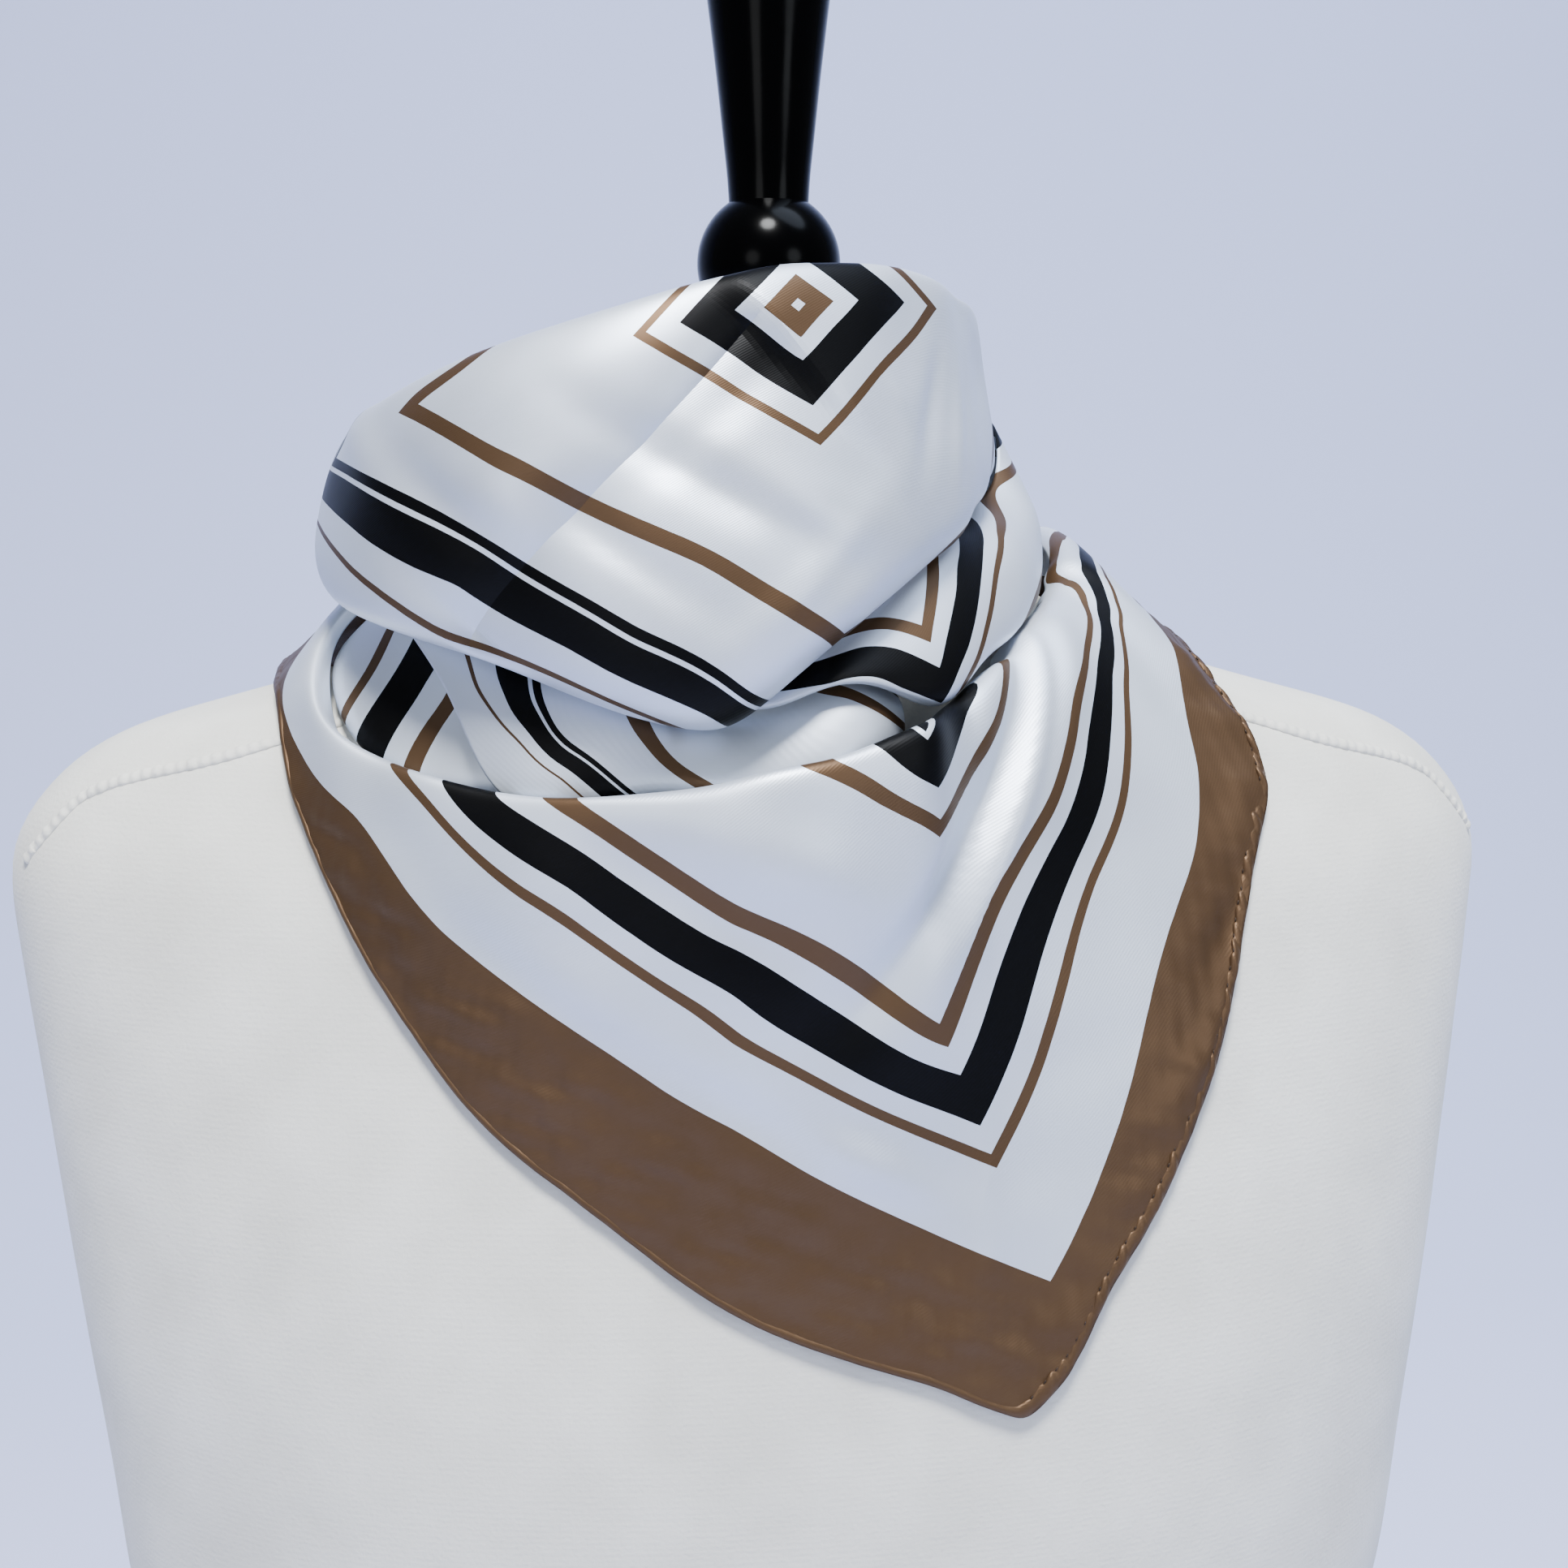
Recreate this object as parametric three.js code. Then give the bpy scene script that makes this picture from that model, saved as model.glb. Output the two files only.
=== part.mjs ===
// A silk square scarf, folded on its diagonal and wound as a cowl round the neck of a limbless dress form.
// Millimetres, +Z up. The origin is the centre of the form's flat base, the front faces -Y, and +X is the
// viewer's right. Azimuth is measured about the neck's axis: 0 at the front, positive towards +X.
import * as THREE from "three";

// Driving sizes
const shoulderWidth = 397;
const neckTop = 566;
const finialTop = 702;
const clothWall = 2;
const hemBead = 3.2;
const seamGap = 0.3;

// Resolution of the surfaces
const formRings = 42;
const formSides = 52;
const loopStations = 66;
const drapeStations = 78;

const group = new THREE.Group();
group.name = "silk_square_scarf";

// Natural cubic spline through the values y at the rising parameters t.
function spline(t, y) {
  const n = t.length;
  const slope = new Array(n).fill(0);
  const ratio = new Array(n).fill(0);
  for (let i = 1; i < n - 1; i++) {
    const before = t[i] - t[i - 1];
    const after = t[i + 1] - t[i];
    const share = before / (before + after);
    const pivot = share * ratio[i - 1] + 2;
    ratio[i] = (share - 1) / pivot;
    const turn = (y[i + 1] - y[i]) / after - (y[i] - y[i - 1]) / before;
    slope[i] = ((6 * turn) / (before + after) - share * slope[i - 1]) / pivot;
  }
  const bend = new Array(n).fill(0);
  for (let i = n - 2; i > 0; i--) bend[i] = ratio[i] * bend[i + 1] + slope[i];
  return (x) => {
    const at = Math.min(Math.max(x, t[0]), t[n - 1]);
    let i = 0;
    while (i < n - 2 && at > t[i + 1]) i++;
    const gap = t[i + 1] - t[i];
    const a = (t[i + 1] - at) / gap;
    const b = (at - t[i]) / gap;
    const curve = ((a ** 3 - a) * bend[i] + (b ** 3 - b) * bend[i + 1]) * gap * gap;
    return a * y[i] + b * y[i + 1] + curve / 6;
  };
}

// A function that gives every column of a table at any value of its first column.
// A table that closes on itself is carried on by a few rows past each end.
function columns(table, closed) {
  let rows = table;
  if (closed) {
    const turn = (row, by) => [row[0] + by, ...row.slice(1)];
    const body = table.slice(0, -1);
    rows = [...body.slice(-4).map((r) => turn(r, -360)), ...body, ...body.slice(0, 5).map((r) => turn(r, 360))];
  }
  const keys = rows.map((row) => row[0]);
  const curves = rows[0].slice(1).map((_, c) => spline(keys, rows.map((row) => row[c + 1])));
  return (key) => curves.map((curve) => curve(key));
}

// Points spread evenly along the smooth curve through a profile's control points.
function smoothProfile(points, count) {
  const run = [0];
  for (let i = 1; i < points.length; i++) {
    run.push(run[i - 1] + Math.hypot(points[i][0] - points[i - 1][0], points[i][1] - points[i - 1][1]));
  }
  const radius = spline(run, points.map((p) => p[0]));
  const height = spline(run, points.map((p) => p[1]));
  const end = run[run.length - 1];
  return Array.from({ length: count }, (_, i) => {
    const at = (end * i) / (count - 1);
    return [radius(at), height(at)];
  });
}

function onAzimuth(degrees, radius, height) {
  const turn = THREE.MathUtils.degToRad(degrees);
  return new THREE.Vector3(radius * Math.sin(turn), -radius * Math.cos(turn), height);
}

function addMesh(name, vertices, triangles, color, roughness) {
  const geometry = new THREE.BufferGeometry();
  geometry.setAttribute("position", new THREE.Float32BufferAttribute(vertices.flatMap((v) => v.toArray()), 3));
  geometry.setIndex(triangles);
  geometry.computeVertexNormals();
  const material = new THREE.MeshStandardMaterial({ color, roughness });
  const mesh = new THREE.Mesh(geometry, material);
  mesh.name = name;
  group.add(mesh);
}

// A cloth wall: the grid of mid-surface points is moved out and in by half the wall, and its rims are closed.
function addCloth(name, grid, closed, color, wallAt = () => clothWall) {
  const stations = grid.length;
  const rows = grid[0].length;
  const at = (i, j) => grid[closed ? (i + stations) % stations : Math.min(Math.max(i, 0), stations - 1)][
    Math.min(Math.max(j, 0), rows - 1)
  ];
  const outer = [];
  const inner = [];
  for (let i = 0; i < stations; i++) {
    for (let j = 0; j < rows; j++) {
      const along = at(i + 1, j).clone().sub(at(i - 1, j));
      const down = at(i, j + 1).clone().sub(at(i, j - 1));
      const out = down.cross(along).normalize().multiplyScalar(wallAt(i, j) / 2);
      outer.push(grid[i][j].clone().add(out));
      inner.push(grid[i][j].clone().sub(out));
    }
  }
  const half = outer.length;
  const triangles = [];
  const quad = (a, b, c, d) => triangles.push(a, b, c, a, c, d);
  const spans = closed ? stations : stations - 1;
  for (let i = 0; i < spans; i++) {
    const here = i * rows;
    const next = ((i + 1) % stations) * rows;
    for (let j = 0; j < rows - 1; j++) {
      quad(here + j, here + j + 1, next + j + 1, next + j);
      quad(half + here + j, half + next + j, half + next + j + 1, half + here + j + 1);
    }
    const last = rows - 1;
    quad(here, next, half + next, half + here);
    quad(here + last, half + here + last, half + next + last, next + last);
  }
  if (!closed) {
    for (let j = 0; j < rows - 1; j++) {
      const end = (stations - 1) * rows + j;
      quad(j, half + j, half + j + 1, j + 1);
      quad(end, end + 1, half + end + 1, half + end);
    }
  }
  addMesh(name, [...outer, ...inner], triangles, color, 0.45);
}

// Dress form body: rounded sections from the flat base over the waist, chest and shoulders to the neck.
const formSections = [
  // height, half width, depth in front, depth behind, roundness
  [0, 162, 99, 108, 2.2],
  [45, 155, 98, 104, 2.2],
  [95, 142, 93, 94, 2.2],
  [140, 142, 92, 90, 2.2],
  [185, 158, 99, 93, 2.2],
  [225, 173, 108, 98, 2.2],
  [270, 179.5, 110, 102, 2.2],
  [315, 185.5, 107, 106, 2.2],
  [355, 190.5, 100, 108, 2.2],
  [390, 195, 91, 106, 2.2],
  [418, shoulderWidth / 2, 82, 100, 2.2],
  [438, shoulderWidth / 2, 74, 92, 2.2],
  [452, 191, 67, 84, 2.2],
  [464, 177, 62, 76, 2.2],
  [474, 150, 58, 69, 2.2],
  [482, 121, 55, 64, 2.2],
  [491, 95, 53, 59, 2.15],
  [501, 74, 51.5, 55.5, 2.1],
  [512, 60, 50, 52.5, 2.05],
  [526, 52, 48.5, 50, 2],
  [545, 48.5, 47.5, 48.5, 2],
  [neckTop, 47, 46.5, 47.5, 2],
];

function addForm() {
  const run = [0];
  for (let i = 1; i < formSections.length; i++) {
    const [height, half] = formSections[i];
    run.push(run[i - 1] + Math.hypot(height - formSections[i - 1][0], half - formSections[i - 1][1]));
  }
  const section = columns(formSections.map((row, i) => [run[i], ...row]), false);
  const end = run[run.length - 1];
  const vertices = [];
  for (let i = 0; i < formRings; i++) {
    const [height, half, front, back, roundness] = section((end * i) / (formRings - 1));
    for (let k = 0; k < formSides; k++) {
      const turn = (2 * Math.PI * k) / formSides;
      const side = Math.sin(turn);
      const face = -Math.cos(turn);
      const depth = face < 0 ? front : back;
      const power = (Math.abs(side) / half) ** roundness + (Math.abs(face) / depth) ** roundness;
      const radius = power ** (-1 / roundness);
      vertices.push(new THREE.Vector3(radius * side, radius * face, height));
    }
  }
  const triangles = [];
  for (let i = 0; i < formRings - 1; i++) {
    for (let k = 0; k < formSides; k++) {
      const a = i * formSides + k;
      const b = i * formSides + ((k + 1) % formSides);
      triangles.push(a, b, b + formSides, a, b + formSides, a + formSides);
    }
  }
  const bottom = vertices.push(new THREE.Vector3(0, 0, 0)) - 1;
  const top = vertices.push(new THREE.Vector3(0, 0, neckTop)) - 1;
  const last = (formRings - 1) * formSides;
  for (let k = 0; k < formSides; k++) {
    const next = (k + 1) % formSides;
    triangles.push(bottom, next, k, top, last + k, last + next);
  }
  addMesh("dress_form_body", vertices, triangles, 0xe9dcc3, 0.9);
}
addForm();

// A turned black piece from its profile of radius and height, listed from the bottom up.
function addTurned(name, profile, sides) {
  const geometry = new THREE.LatheGeometry(profile.map(([r, z]) => new THREE.Vector2(r, z)), sides);
  const vertices = [];
  const place = geometry.getAttribute("position");
  const rings = profile.length;
  const ringPoint = (k, i) => {
    const turn = (2 * Math.PI * k) / sides;
    return new THREE.Vector3(profile[i][0] * Math.cos(turn), profile[i][0] * Math.sin(turn), place.getY(i));
  };
  for (let i = 1; i < rings - 1; i++) for (let k = 0; k < sides; k++) vertices.push(ringPoint(k, i));
  const triangles = [];
  for (let i = 0; i < rings - 3; i++) {
    for (let k = 0; k < sides; k++) {
      const a = i * sides + k;
      const b = i * sides + ((k + 1) % sides);
      triangles.push(a, b, b + sides, a, b + sides, a + sides);
    }
  }
  const bottom = vertices.push(new THREE.Vector3(0, 0, profile[0][1])) - 1;
  const top = vertices.push(new THREE.Vector3(0, 0, profile[rings - 1][1])) - 1;
  const last = (rings - 3) * sides;
  for (let k = 0; k < sides; k++) {
    const next = (k + 1) % sides;
    triangles.push(bottom, next, k, top, last + k, last + next);
  }
  addMesh(name, vertices, triangles, 0x15110f, 0.3);
}

// Neck cap: a thin disc with rounded rims.
const capRadius = 45;
const capThickness = 5;
const capBottom = neckTop + seamGap;
const capTop = capBottom + capThickness;
addTurned(
  "neck_cap",
  [
    [0, capBottom],
    [capRadius - 1, capBottom],
    [capRadius, capBottom + 1],
    [capRadius, capTop - 1.5],
    [capRadius - 1.5, capTop],
    [0, capTop],
  ],
  44,
);

// Neck finial: a turned ball, a narrow neck and a spindle that flares to a rounded top.
const ballRadius = 19;
const ballHeight = 589;
const spindle = [
  // height, radius
  [604.5, 10.6],
  [608, 10.8],
  [620, 12],
  [635, 13.6],
  [650, 15.4],
  [664, 17],
  [676, 17.6],
  [686, 16.4],
  [694, 12.8],
  [699.5, 7.6],
  [finialTop - 0.4, 2.8],
];
function finialProfile() {
  const foot = capTop + seamGap;
  const low = Math.asin((foot - ballHeight) / ballRadius);
  const high = Math.acos(10.8 / ballRadius);
  const steps = 11;
  const profile = [[0, foot]];
  for (let i = 0; i <= steps; i++) {
    const turn = low + ((high - low) * i) / steps;
    profile.push([ballRadius * Math.cos(turn), ballHeight + ballRadius * Math.sin(turn)]);
  }
  return [...profile, ...spindle.map(([height, radius]) => [radius, height + 1]), [0, finialTop]];
}
addTurned("neck_finial", finialProfile(), 30);

// Upper fold: the cowl loop with the diagonal fold's edge at its top, loose at the left, close at the right.
const upperFold = [
  // azimuth, inner radius, top radius and height, outer radius and height, lower radius and height
  [-180, 55, 59, 557, 64, 542, 62, 522],
  [-150, 64, 70, 555, 75, 540, 72, 522],
  [-130, 74, 82, 551, 89, 535, 86, 518],
  [-115, 85, 94, 547, 102, 530, 99, 513],
  [-100, 94, 103, 543, 111, 528, 109, 511.5],
  [-85, 99, 108.5, 541, 116.5, 527, 115, 512],
  [-73, 102, 111, 545, 120, 527, 118, 506],
  [-60, 103, 112, 551.5, 122, 527, 118, 500],
  [-50, 100, 108, 558, 121.5, 527, 113, 495.5],
  [-38, 92, 100, 565, 119, 525, 105.5, 488.5],
  [-28, 85, 93.5, 570, 115, 522, 102, 481.5],
  [-20, 80, 89, 574, 111, 523, 100, 478],
  [-13, 76, 86, 577, 106.5, 525, 98.5, 478],
  [-8, 73, 83.5, 579, 103, 529, 97, 483],
  [1, 69, 79.5, 580.7, 96, 537, 93, 495.5],
  [10, 65, 75, 581.5, 88.5, 545, 87, 504.5],
  [20, 60.5, 70, 581.2, 80.5, 550, 80.5, 513.5],
  [30, 57.5, 66, 579.5, 73.5, 553, 74.5, 519],
  [41, 54.5, 61, 577, 66.5, 555, 65.5, 525],
  [50, 53, 58.5, 576, 62.5, 556, 61, 529],
  [60, 52, 56, 575, 59.5, 557, 57.5, 531.5],
  [76, 50.8, 53.8, 572.5, 56.6, 557, 55, 533],
  [110, 51, 54.2, 564, 56.2, 549, 55.7, 532],
  [150, 53, 57, 559, 61, 545, 60, 527],
  [180, 55, 59, 557, 64, 542, 62, 522],
];
const innerDrop = 22;
const lowerCurl = 2.5;
function upperFoldGrid() {
  const at = columns(upperFold, true);
  return Array.from({ length: loopStations }, (_, i) => {
    const azimuth = -180 + (360 * i) / loopStations;
    const [innerR, topR, topZ, outR, outZ, lowR, lowZ] = at(azimuth);
    const profile = [
      [innerR, topZ - innerDrop],
      [topR, topZ],
      [outR, outZ],
      [lowR, lowZ],
      [lowR - lowerCurl, lowZ + 0.5],
    ];
    return smoothProfile(profile, 13).map(([radius, height]) => onAzimuth(azimuth, radius, height));
  });
}
addCloth("scarf_upper_fold", upperFoldGrid(), true, 0xe6e3de);

// The stretches that show under the upper fold: open at both ends, tucked in above and curled in below.
// The lean turns the top of a section one way and its bottom the other.
function stretchGrid(table, stations, rows) {
  const at = columns(table, false);
  const first = table[0][0];
  const last = table[table.length - 1][0];
  return Array.from({ length: stations }, (_, i) => {
    const azimuth = first + ((last - first) * i) / (stations - 1);
    const [lean, topR, topZ, outR, outZ, lowR, lowZ] = at(azimuth);
    const profile = [
      [topR, topZ],
      [outR, outZ],
      [lowR, lowZ],
      [lowR - 3, lowZ + 0.5],
    ];
    return smoothProfile(profile, rows).map(([radius, height], j) =>
      onAzimuth(azimuth + lean * ((2 * j) / (rows - 1) - 1), radius, height),
    );
  });
}

const rightFold = [
  // azimuth, lean, top radius and height, outer radius and height, lower radius and height
  [-15, 0, 76, 504.3, 86.5, 490.4, 89.5, 481.9],
  [-8, 0, 75, 505, 86.5, 490, 90.5, 480.5],
  [1, 0, 72, 509, 86.5, 493, 92, 485.5],
  [10, 0, 67, 516, 85, 496, 90, 484.5],
  [20, 0, 62, 523, 83.5, 500, 87, 480],
  [29, 0, 59, 525, 81.5, 502.5, 83.5, 488],
  [40, 0, 55.5, 524, 78.5, 506, 79, 493.5],
  [50, 0, 56.5, 524.5, 76.3, 511.5, 76, 498.5],
  [60, 0, 58.5, 527, 74, 516, 73, 503.5],
  [70, 0, 60.5, 533, 72.3, 521, 70.5, 511.5],
  [80, 0, 61, 542, 70, 524, 68.7, 513.5],
  [92, 0, 61, 548, 68.5, 527, 67, 514.5],
  [110, 0, 61.5, 549, 68, 529, 66.5, 514],
  [135, 0, 64.5, 547, 69.5, 528, 68, 511],
  [162, 0, 67.5, 543, 71.5, 526, 70, 510],
];
addCloth("scarf_right_fold", stretchGrid(rightFold, 34, 9), false, 0xdfdbd5);

const middleRoll = [
  // azimuth, lean, top radius and height, outer radius and height, lower radius and height
  [-48, 11, 110.5, 497, 109.5, 480, 106.5, 458.5],
  [-38, 8, 95, 497, 105.5, 474, 102.5, 459],
  [-28, 5, 82, 494, 101, 469.5, 98, 460.5],
  [-18, 2, 74, 486.2, 97.3, 466.1, 96.5, 461],
  [-8, 0, 68, 486, 94.2, 467.5, 94.5, 462.5],
  [2, 0, 66, 491, 92.5, 473, 93, 467],
  [9, 0, 66, 489, 90, 474, 89.5, 469.5],
  [15, 0, 66, 484, 83, 475, 82.5, 472.5],
];
addCloth("scarf_middle_roll", stretchGrid(middleRoll, 18, 9), false, 0xdcd8d2);

const innerFold = [
  // azimuth, lean, top radius and height, outer radius and height, lower radius and height
  [-88, 0, 90, 505.5, 98, 500, 105, 493.5],
  [-80, 0, 94, 508, 103, 500, 110.5, 492.5],
  [-76, 0, 98, 508, 107, 499, 115.1, 489.3],
  [-70, 0, 101, 507, 110, 495, 117.5, 480],
  [-66, 0, 101, 506, 110.5, 491.5, 117, 473.5],
  [-58, 0, 96, 505, 105, 486, 111, 464],
  [-50, 0, 86, 503, 97, 483, 102, 460.5],
  [-42, 0, 77, 500, 89, 481.5, 94, 461.5],
  [-34, 0, 70, 498, 83, 480, 86, 463],
];
addCloth("scarf_inner_fold", stretchGrid(innerFold, 16, 7), false, 0xd8d4ce);

// Front drape: a collar round the shoulders whose front hangs as one corner of the square.
const frontDrape = [
  // azimuth, fold, top radius and height, middle radius and height, hem radius and height
  [-180, 2, 77, 516, 81, 489, 83.5, 460.5],
  [-150, 2, 78, 511.5, 87, 487, 93, 459.5],
  [-135, 2, 81, 511, 94, 489, 105, 464],
  [-120, 2, 86, 510, 105, 492, 121, 473],
  [-100, 1.5, 95, 507, 116, 494, 130, 483.5],
  [-88, 1, 102, 504.5, 118.5, 494.5, 130, 483.5],
  [-80, 1, 112, 499, 123.5, 490.5, 131.5, 481],
  [-73, 2, 122, 489.5, 129, 483.5, 133, 476],
  [-67, 5, 127.5, 479.5, 131.5, 471, 134.8, 461],
  [-61, 7, 126.5, 471.5, 130.5, 458, 132.8, 441],
  [-56, 8, 122, 467, 128, 447, 130.5, 425],
  [-50, 8, 119, 464.5, 125, 437, 125.7, 406],
  [-42, 8, 114, 461.5, 120, 426, 119.7, 385],
  [-32, 7, 110, 460.5, 115, 418, 113.2, 368.5],
  [-24, 7, 107, 460.5, 111, 412, 110, 356.5],
  [-16, 7, 105.5, 461.8, 109.5, 408, 108.2, 345.5],
  [-8, 6, 105, 465.5, 108.5, 405, 107.1, 336.8],
  [0, 6, 103, 468.2, 107.5, 402, 107.3, 330.6],
  [8, 5, 99.5, 472, 106, 401, 109, 325],
  [14, 4, 96, 474.5, 105, 400, 111.4, 320.6],
  [18, 2, 88, 474.8, 104.5, 399, 113.6, 316.6],
  [21.5, 1.5, 83, 475.6, 104.5, 400, 115.8, 313.4],
  [23.4, 1.5, 81.5, 476.5, 104.5, 401, 116.9, 312.4],
  [26.2, 1.5, 80.5, 478.8, 104.7, 404, 118.4, 316],
  [29, 1.5, 79.5, 480.9, 105, 408, 119.9, 322],
  [34, 1.2, 77.5, 484.7, 106, 418, 121.7, 338.6],
  [40, 1.5, 75, 488.4, 107.5, 430, 124.7, 354.5],
  [46, 0.8, 74, 491.4, 108.5, 444, 128.1, 375],
  [50, 0.3, 73.8, 493.6, 109, 453, 130, 390.5],
  [54, 0.2, 74, 495.7, 109.5, 462, 131.2, 409],
  [58, 0.2, 74, 498, 109.5, 471, 132.1, 428.5],
  [62, 0.2, 74, 499.8, 109, 479, 132.8, 444],
  [65.5, 0.3, 74.5, 502.5, 108.5, 486, 132.8, 457],
  [67.3, 0.5, 75.3, 504.3, 106.5, 490.5, 128.8, 467],
  [69.5, 1.5, 75.7, 508, 102.5, 496, 123, 474.5],
  [73, 1.5, 76.7, 511.5, 97, 501.5, 117, 482.5],
  [77, 1.5, 76.6, 514, 93.5, 504.5, 113, 487],
  [82, 1.5, 76, 515.8, 92, 505.5, 111, 489.5],
  [90, 1.5, 75.5, 517.5, 92, 506, 110.5, 490],
  [100, 1.5, 75.5, 518, 93.5, 505, 113, 488],
  [115, 1.5, 76.5, 518.5, 96, 500, 115.5, 481.5],
  [135, 2, 77, 518, 90, 494, 101, 470],
  [160, 2, 77, 517, 83.5, 489, 87, 461],
  [180, 2, 77, 516, 81, 489, 83.5, 460.5],
];
const drapeRows = 14;
// Stations stand closer together at the front, where the corner hangs.
function drapeAzimuths() {
  const back = 24;
  const front = drapeStations - back;
  const left = -96;
  const right = 96;
  const list = [];
  for (let i = 0; i < front; i++) list.push(left + ((right - left) * i) / front);
  for (let i = 0; i < back; i++) list.push(right + ((360 + left - right) * i) / back);
  return list;
}
function frontDrapeGrid() {
  const at = columns(frontDrape, true);
  return drapeAzimuths().map((azimuth) => {
    const wrapped = azimuth > 180 ? azimuth - 360 : azimuth;
    const [fold, topR, topZ, midR, midZ, hemR, hemZ] = at(wrapped);
    const profile = [
      [topR - fold, topZ - 1.4 * fold],
      [topR, topZ],
      [midR, midZ],
      [hemR, hemZ],
    ];
    return smoothProfile(profile, drapeRows).map(([radius, height]) => onAzimuth(azimuth, radius, height));
  });
}
const drapeWall = (i, j) => (j >= drapeRows - 2 ? hemBead : clothWall);
addCloth("scarf_front_drape", frontDrapeGrid(), true, 0xe8e5e0, drapeWall);

// Knot at the nape: a squashed ball with a groove round its middle, and two short tails below it.
const knotCentre = new THREE.Vector3(0, 87.7, 522);
const knotHalf = new THREE.Vector3(17, 9, 13);
const knotGroove = 0.16;
function addKnot() {
  const rings = 18;
  const sides = 24;
  const vertices = [];
  for (let i = 1; i < rings; i++) {
    const lift = (Math.PI * i) / rings;
    for (let k = 0; k < sides; k++) {
      const turn = (2 * Math.PI * k) / sides;
      const groove = 1 - knotGroove * Math.exp(-((Math.cos(lift) / 0.22) ** 2));
      vertices.push(
        new THREE.Vector3(
          -knotHalf.x * Math.cos(lift),
          knotHalf.y * groove * Math.sin(lift) * Math.cos(turn),
          knotHalf.z * groove * Math.sin(lift) * Math.sin(turn),
        ).add(knotCentre),
      );
    }
  }
  const triangles = [];
  for (let i = 0; i < rings - 2; i++) {
    for (let k = 0; k < sides; k++) {
      const a = i * sides + k;
      const b = i * sides + ((k + 1) % sides);
      triangles.push(a, b, b + sides, a, b + sides, a + sides);
    }
  }
  const left = vertices.push(new THREE.Vector3(-knotHalf.x, 0, 0).add(knotCentre)) - 1;
  const right = vertices.push(new THREE.Vector3(knotHalf.x, 0, 0).add(knotCentre)) - 1;
  const last = (rings - 2) * sides;
  for (let k = 0; k < sides; k++) {
    const next = (k + 1) % sides;
    triangles.push(left, next, k, right, last + k, last + next);
  }
  addMesh("scarf_knot", vertices, triangles, 0xdedad4, 0.45);
}
addKnot();

// Tails: the two pointed corners, each a wall that widens from the knot and narrows to its corner.
const tailTable = [
  // share of the length, centre's distance from the middle, half width, distance behind the axis, height
  [0, 6.5, 4.5, 87.8, 509.7],
  [0.3, 13, 12, 91.5, 487],
  [0.6, 20, 17, 95, 463],
  [0.8, 24, 11, 99, 446],
  [1, 27.5, 1.5, 103, 430],
];
function tailGrid(side) {
  const at = columns(tailTable, false);
  const along = 12;
  const across = 8;
  return Array.from({ length: across }, (_, i) =>
    Array.from({ length: along }, (_, j) => {
      const [middle, half, depth, height] = at(j / (along - 1));
      const share = (2 * i) / (across - 1) - 1;
      const x = side * middle - share * half;
      return new THREE.Vector3(x, depth + 1.5 * (1 - share * share), height);
    }),
  );
}
addCloth("scarf_tail_left", tailGrid(-1), false, 0x7a5a42);
addCloth("scarf_tail_right", tailGrid(1), false, 0x7a5a42);

export default group;
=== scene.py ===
import math
import bpy
import bmesh
import numpy as np
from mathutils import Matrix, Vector
from mathutils.bvhtree import BVHTree


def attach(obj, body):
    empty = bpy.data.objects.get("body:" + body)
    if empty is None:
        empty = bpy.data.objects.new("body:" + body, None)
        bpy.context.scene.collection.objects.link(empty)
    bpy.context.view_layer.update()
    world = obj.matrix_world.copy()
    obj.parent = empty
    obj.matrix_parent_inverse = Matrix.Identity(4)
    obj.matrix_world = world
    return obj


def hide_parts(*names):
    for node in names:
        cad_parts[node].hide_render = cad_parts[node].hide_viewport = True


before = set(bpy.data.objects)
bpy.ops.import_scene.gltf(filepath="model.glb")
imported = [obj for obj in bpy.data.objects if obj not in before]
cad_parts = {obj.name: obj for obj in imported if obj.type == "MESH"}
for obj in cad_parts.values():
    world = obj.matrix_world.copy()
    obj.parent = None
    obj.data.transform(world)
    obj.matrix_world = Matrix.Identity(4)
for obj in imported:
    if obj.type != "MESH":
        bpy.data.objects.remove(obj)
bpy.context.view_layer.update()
print("stage: frame loaded")

# Lengths in the tables are millimetres and angles are degrees.
# Azimuth is measured about the neck's axis: 0 at the front, positive to the viewer's right.
mm = 0.001
perDegree = 1.9  # millimetres that one degree counts for where the cloth is laid out flat
scarf = {
    "side": 650.0,  # the whole cut, a square folded on its diagonal
    "thickness": 0.7,
    "napeJoin": (140, 174),  # the azimuths over which the print of both sides meets
    "napeGap": 40,
}

# distance from the hem where each printed stripe starts, and its colour
stripes = [
    (0, "brown"), (35, "white"), (55.5, "brown"), (57.7, "white"), (63.3, "black"), (72, "white"),
    (76.6, "brown"), (81.1, "white"), (101, "brown"), (103, "white"), (109, "black"), (117, "white"),
    (119, "black"), (121, "white"), (216, "brown"), (218, "white"), (224.5, "black"), (232.5, "white"),
    (234.5, "black"), (236.5, "white"), (253, "brown"), (257.5, "white"), (294.5, "brown"),
    (296.6, "white"), (303, "black"), (312.6, "white"), (318.6, "brown"), (322.6, "white"),
]


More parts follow.
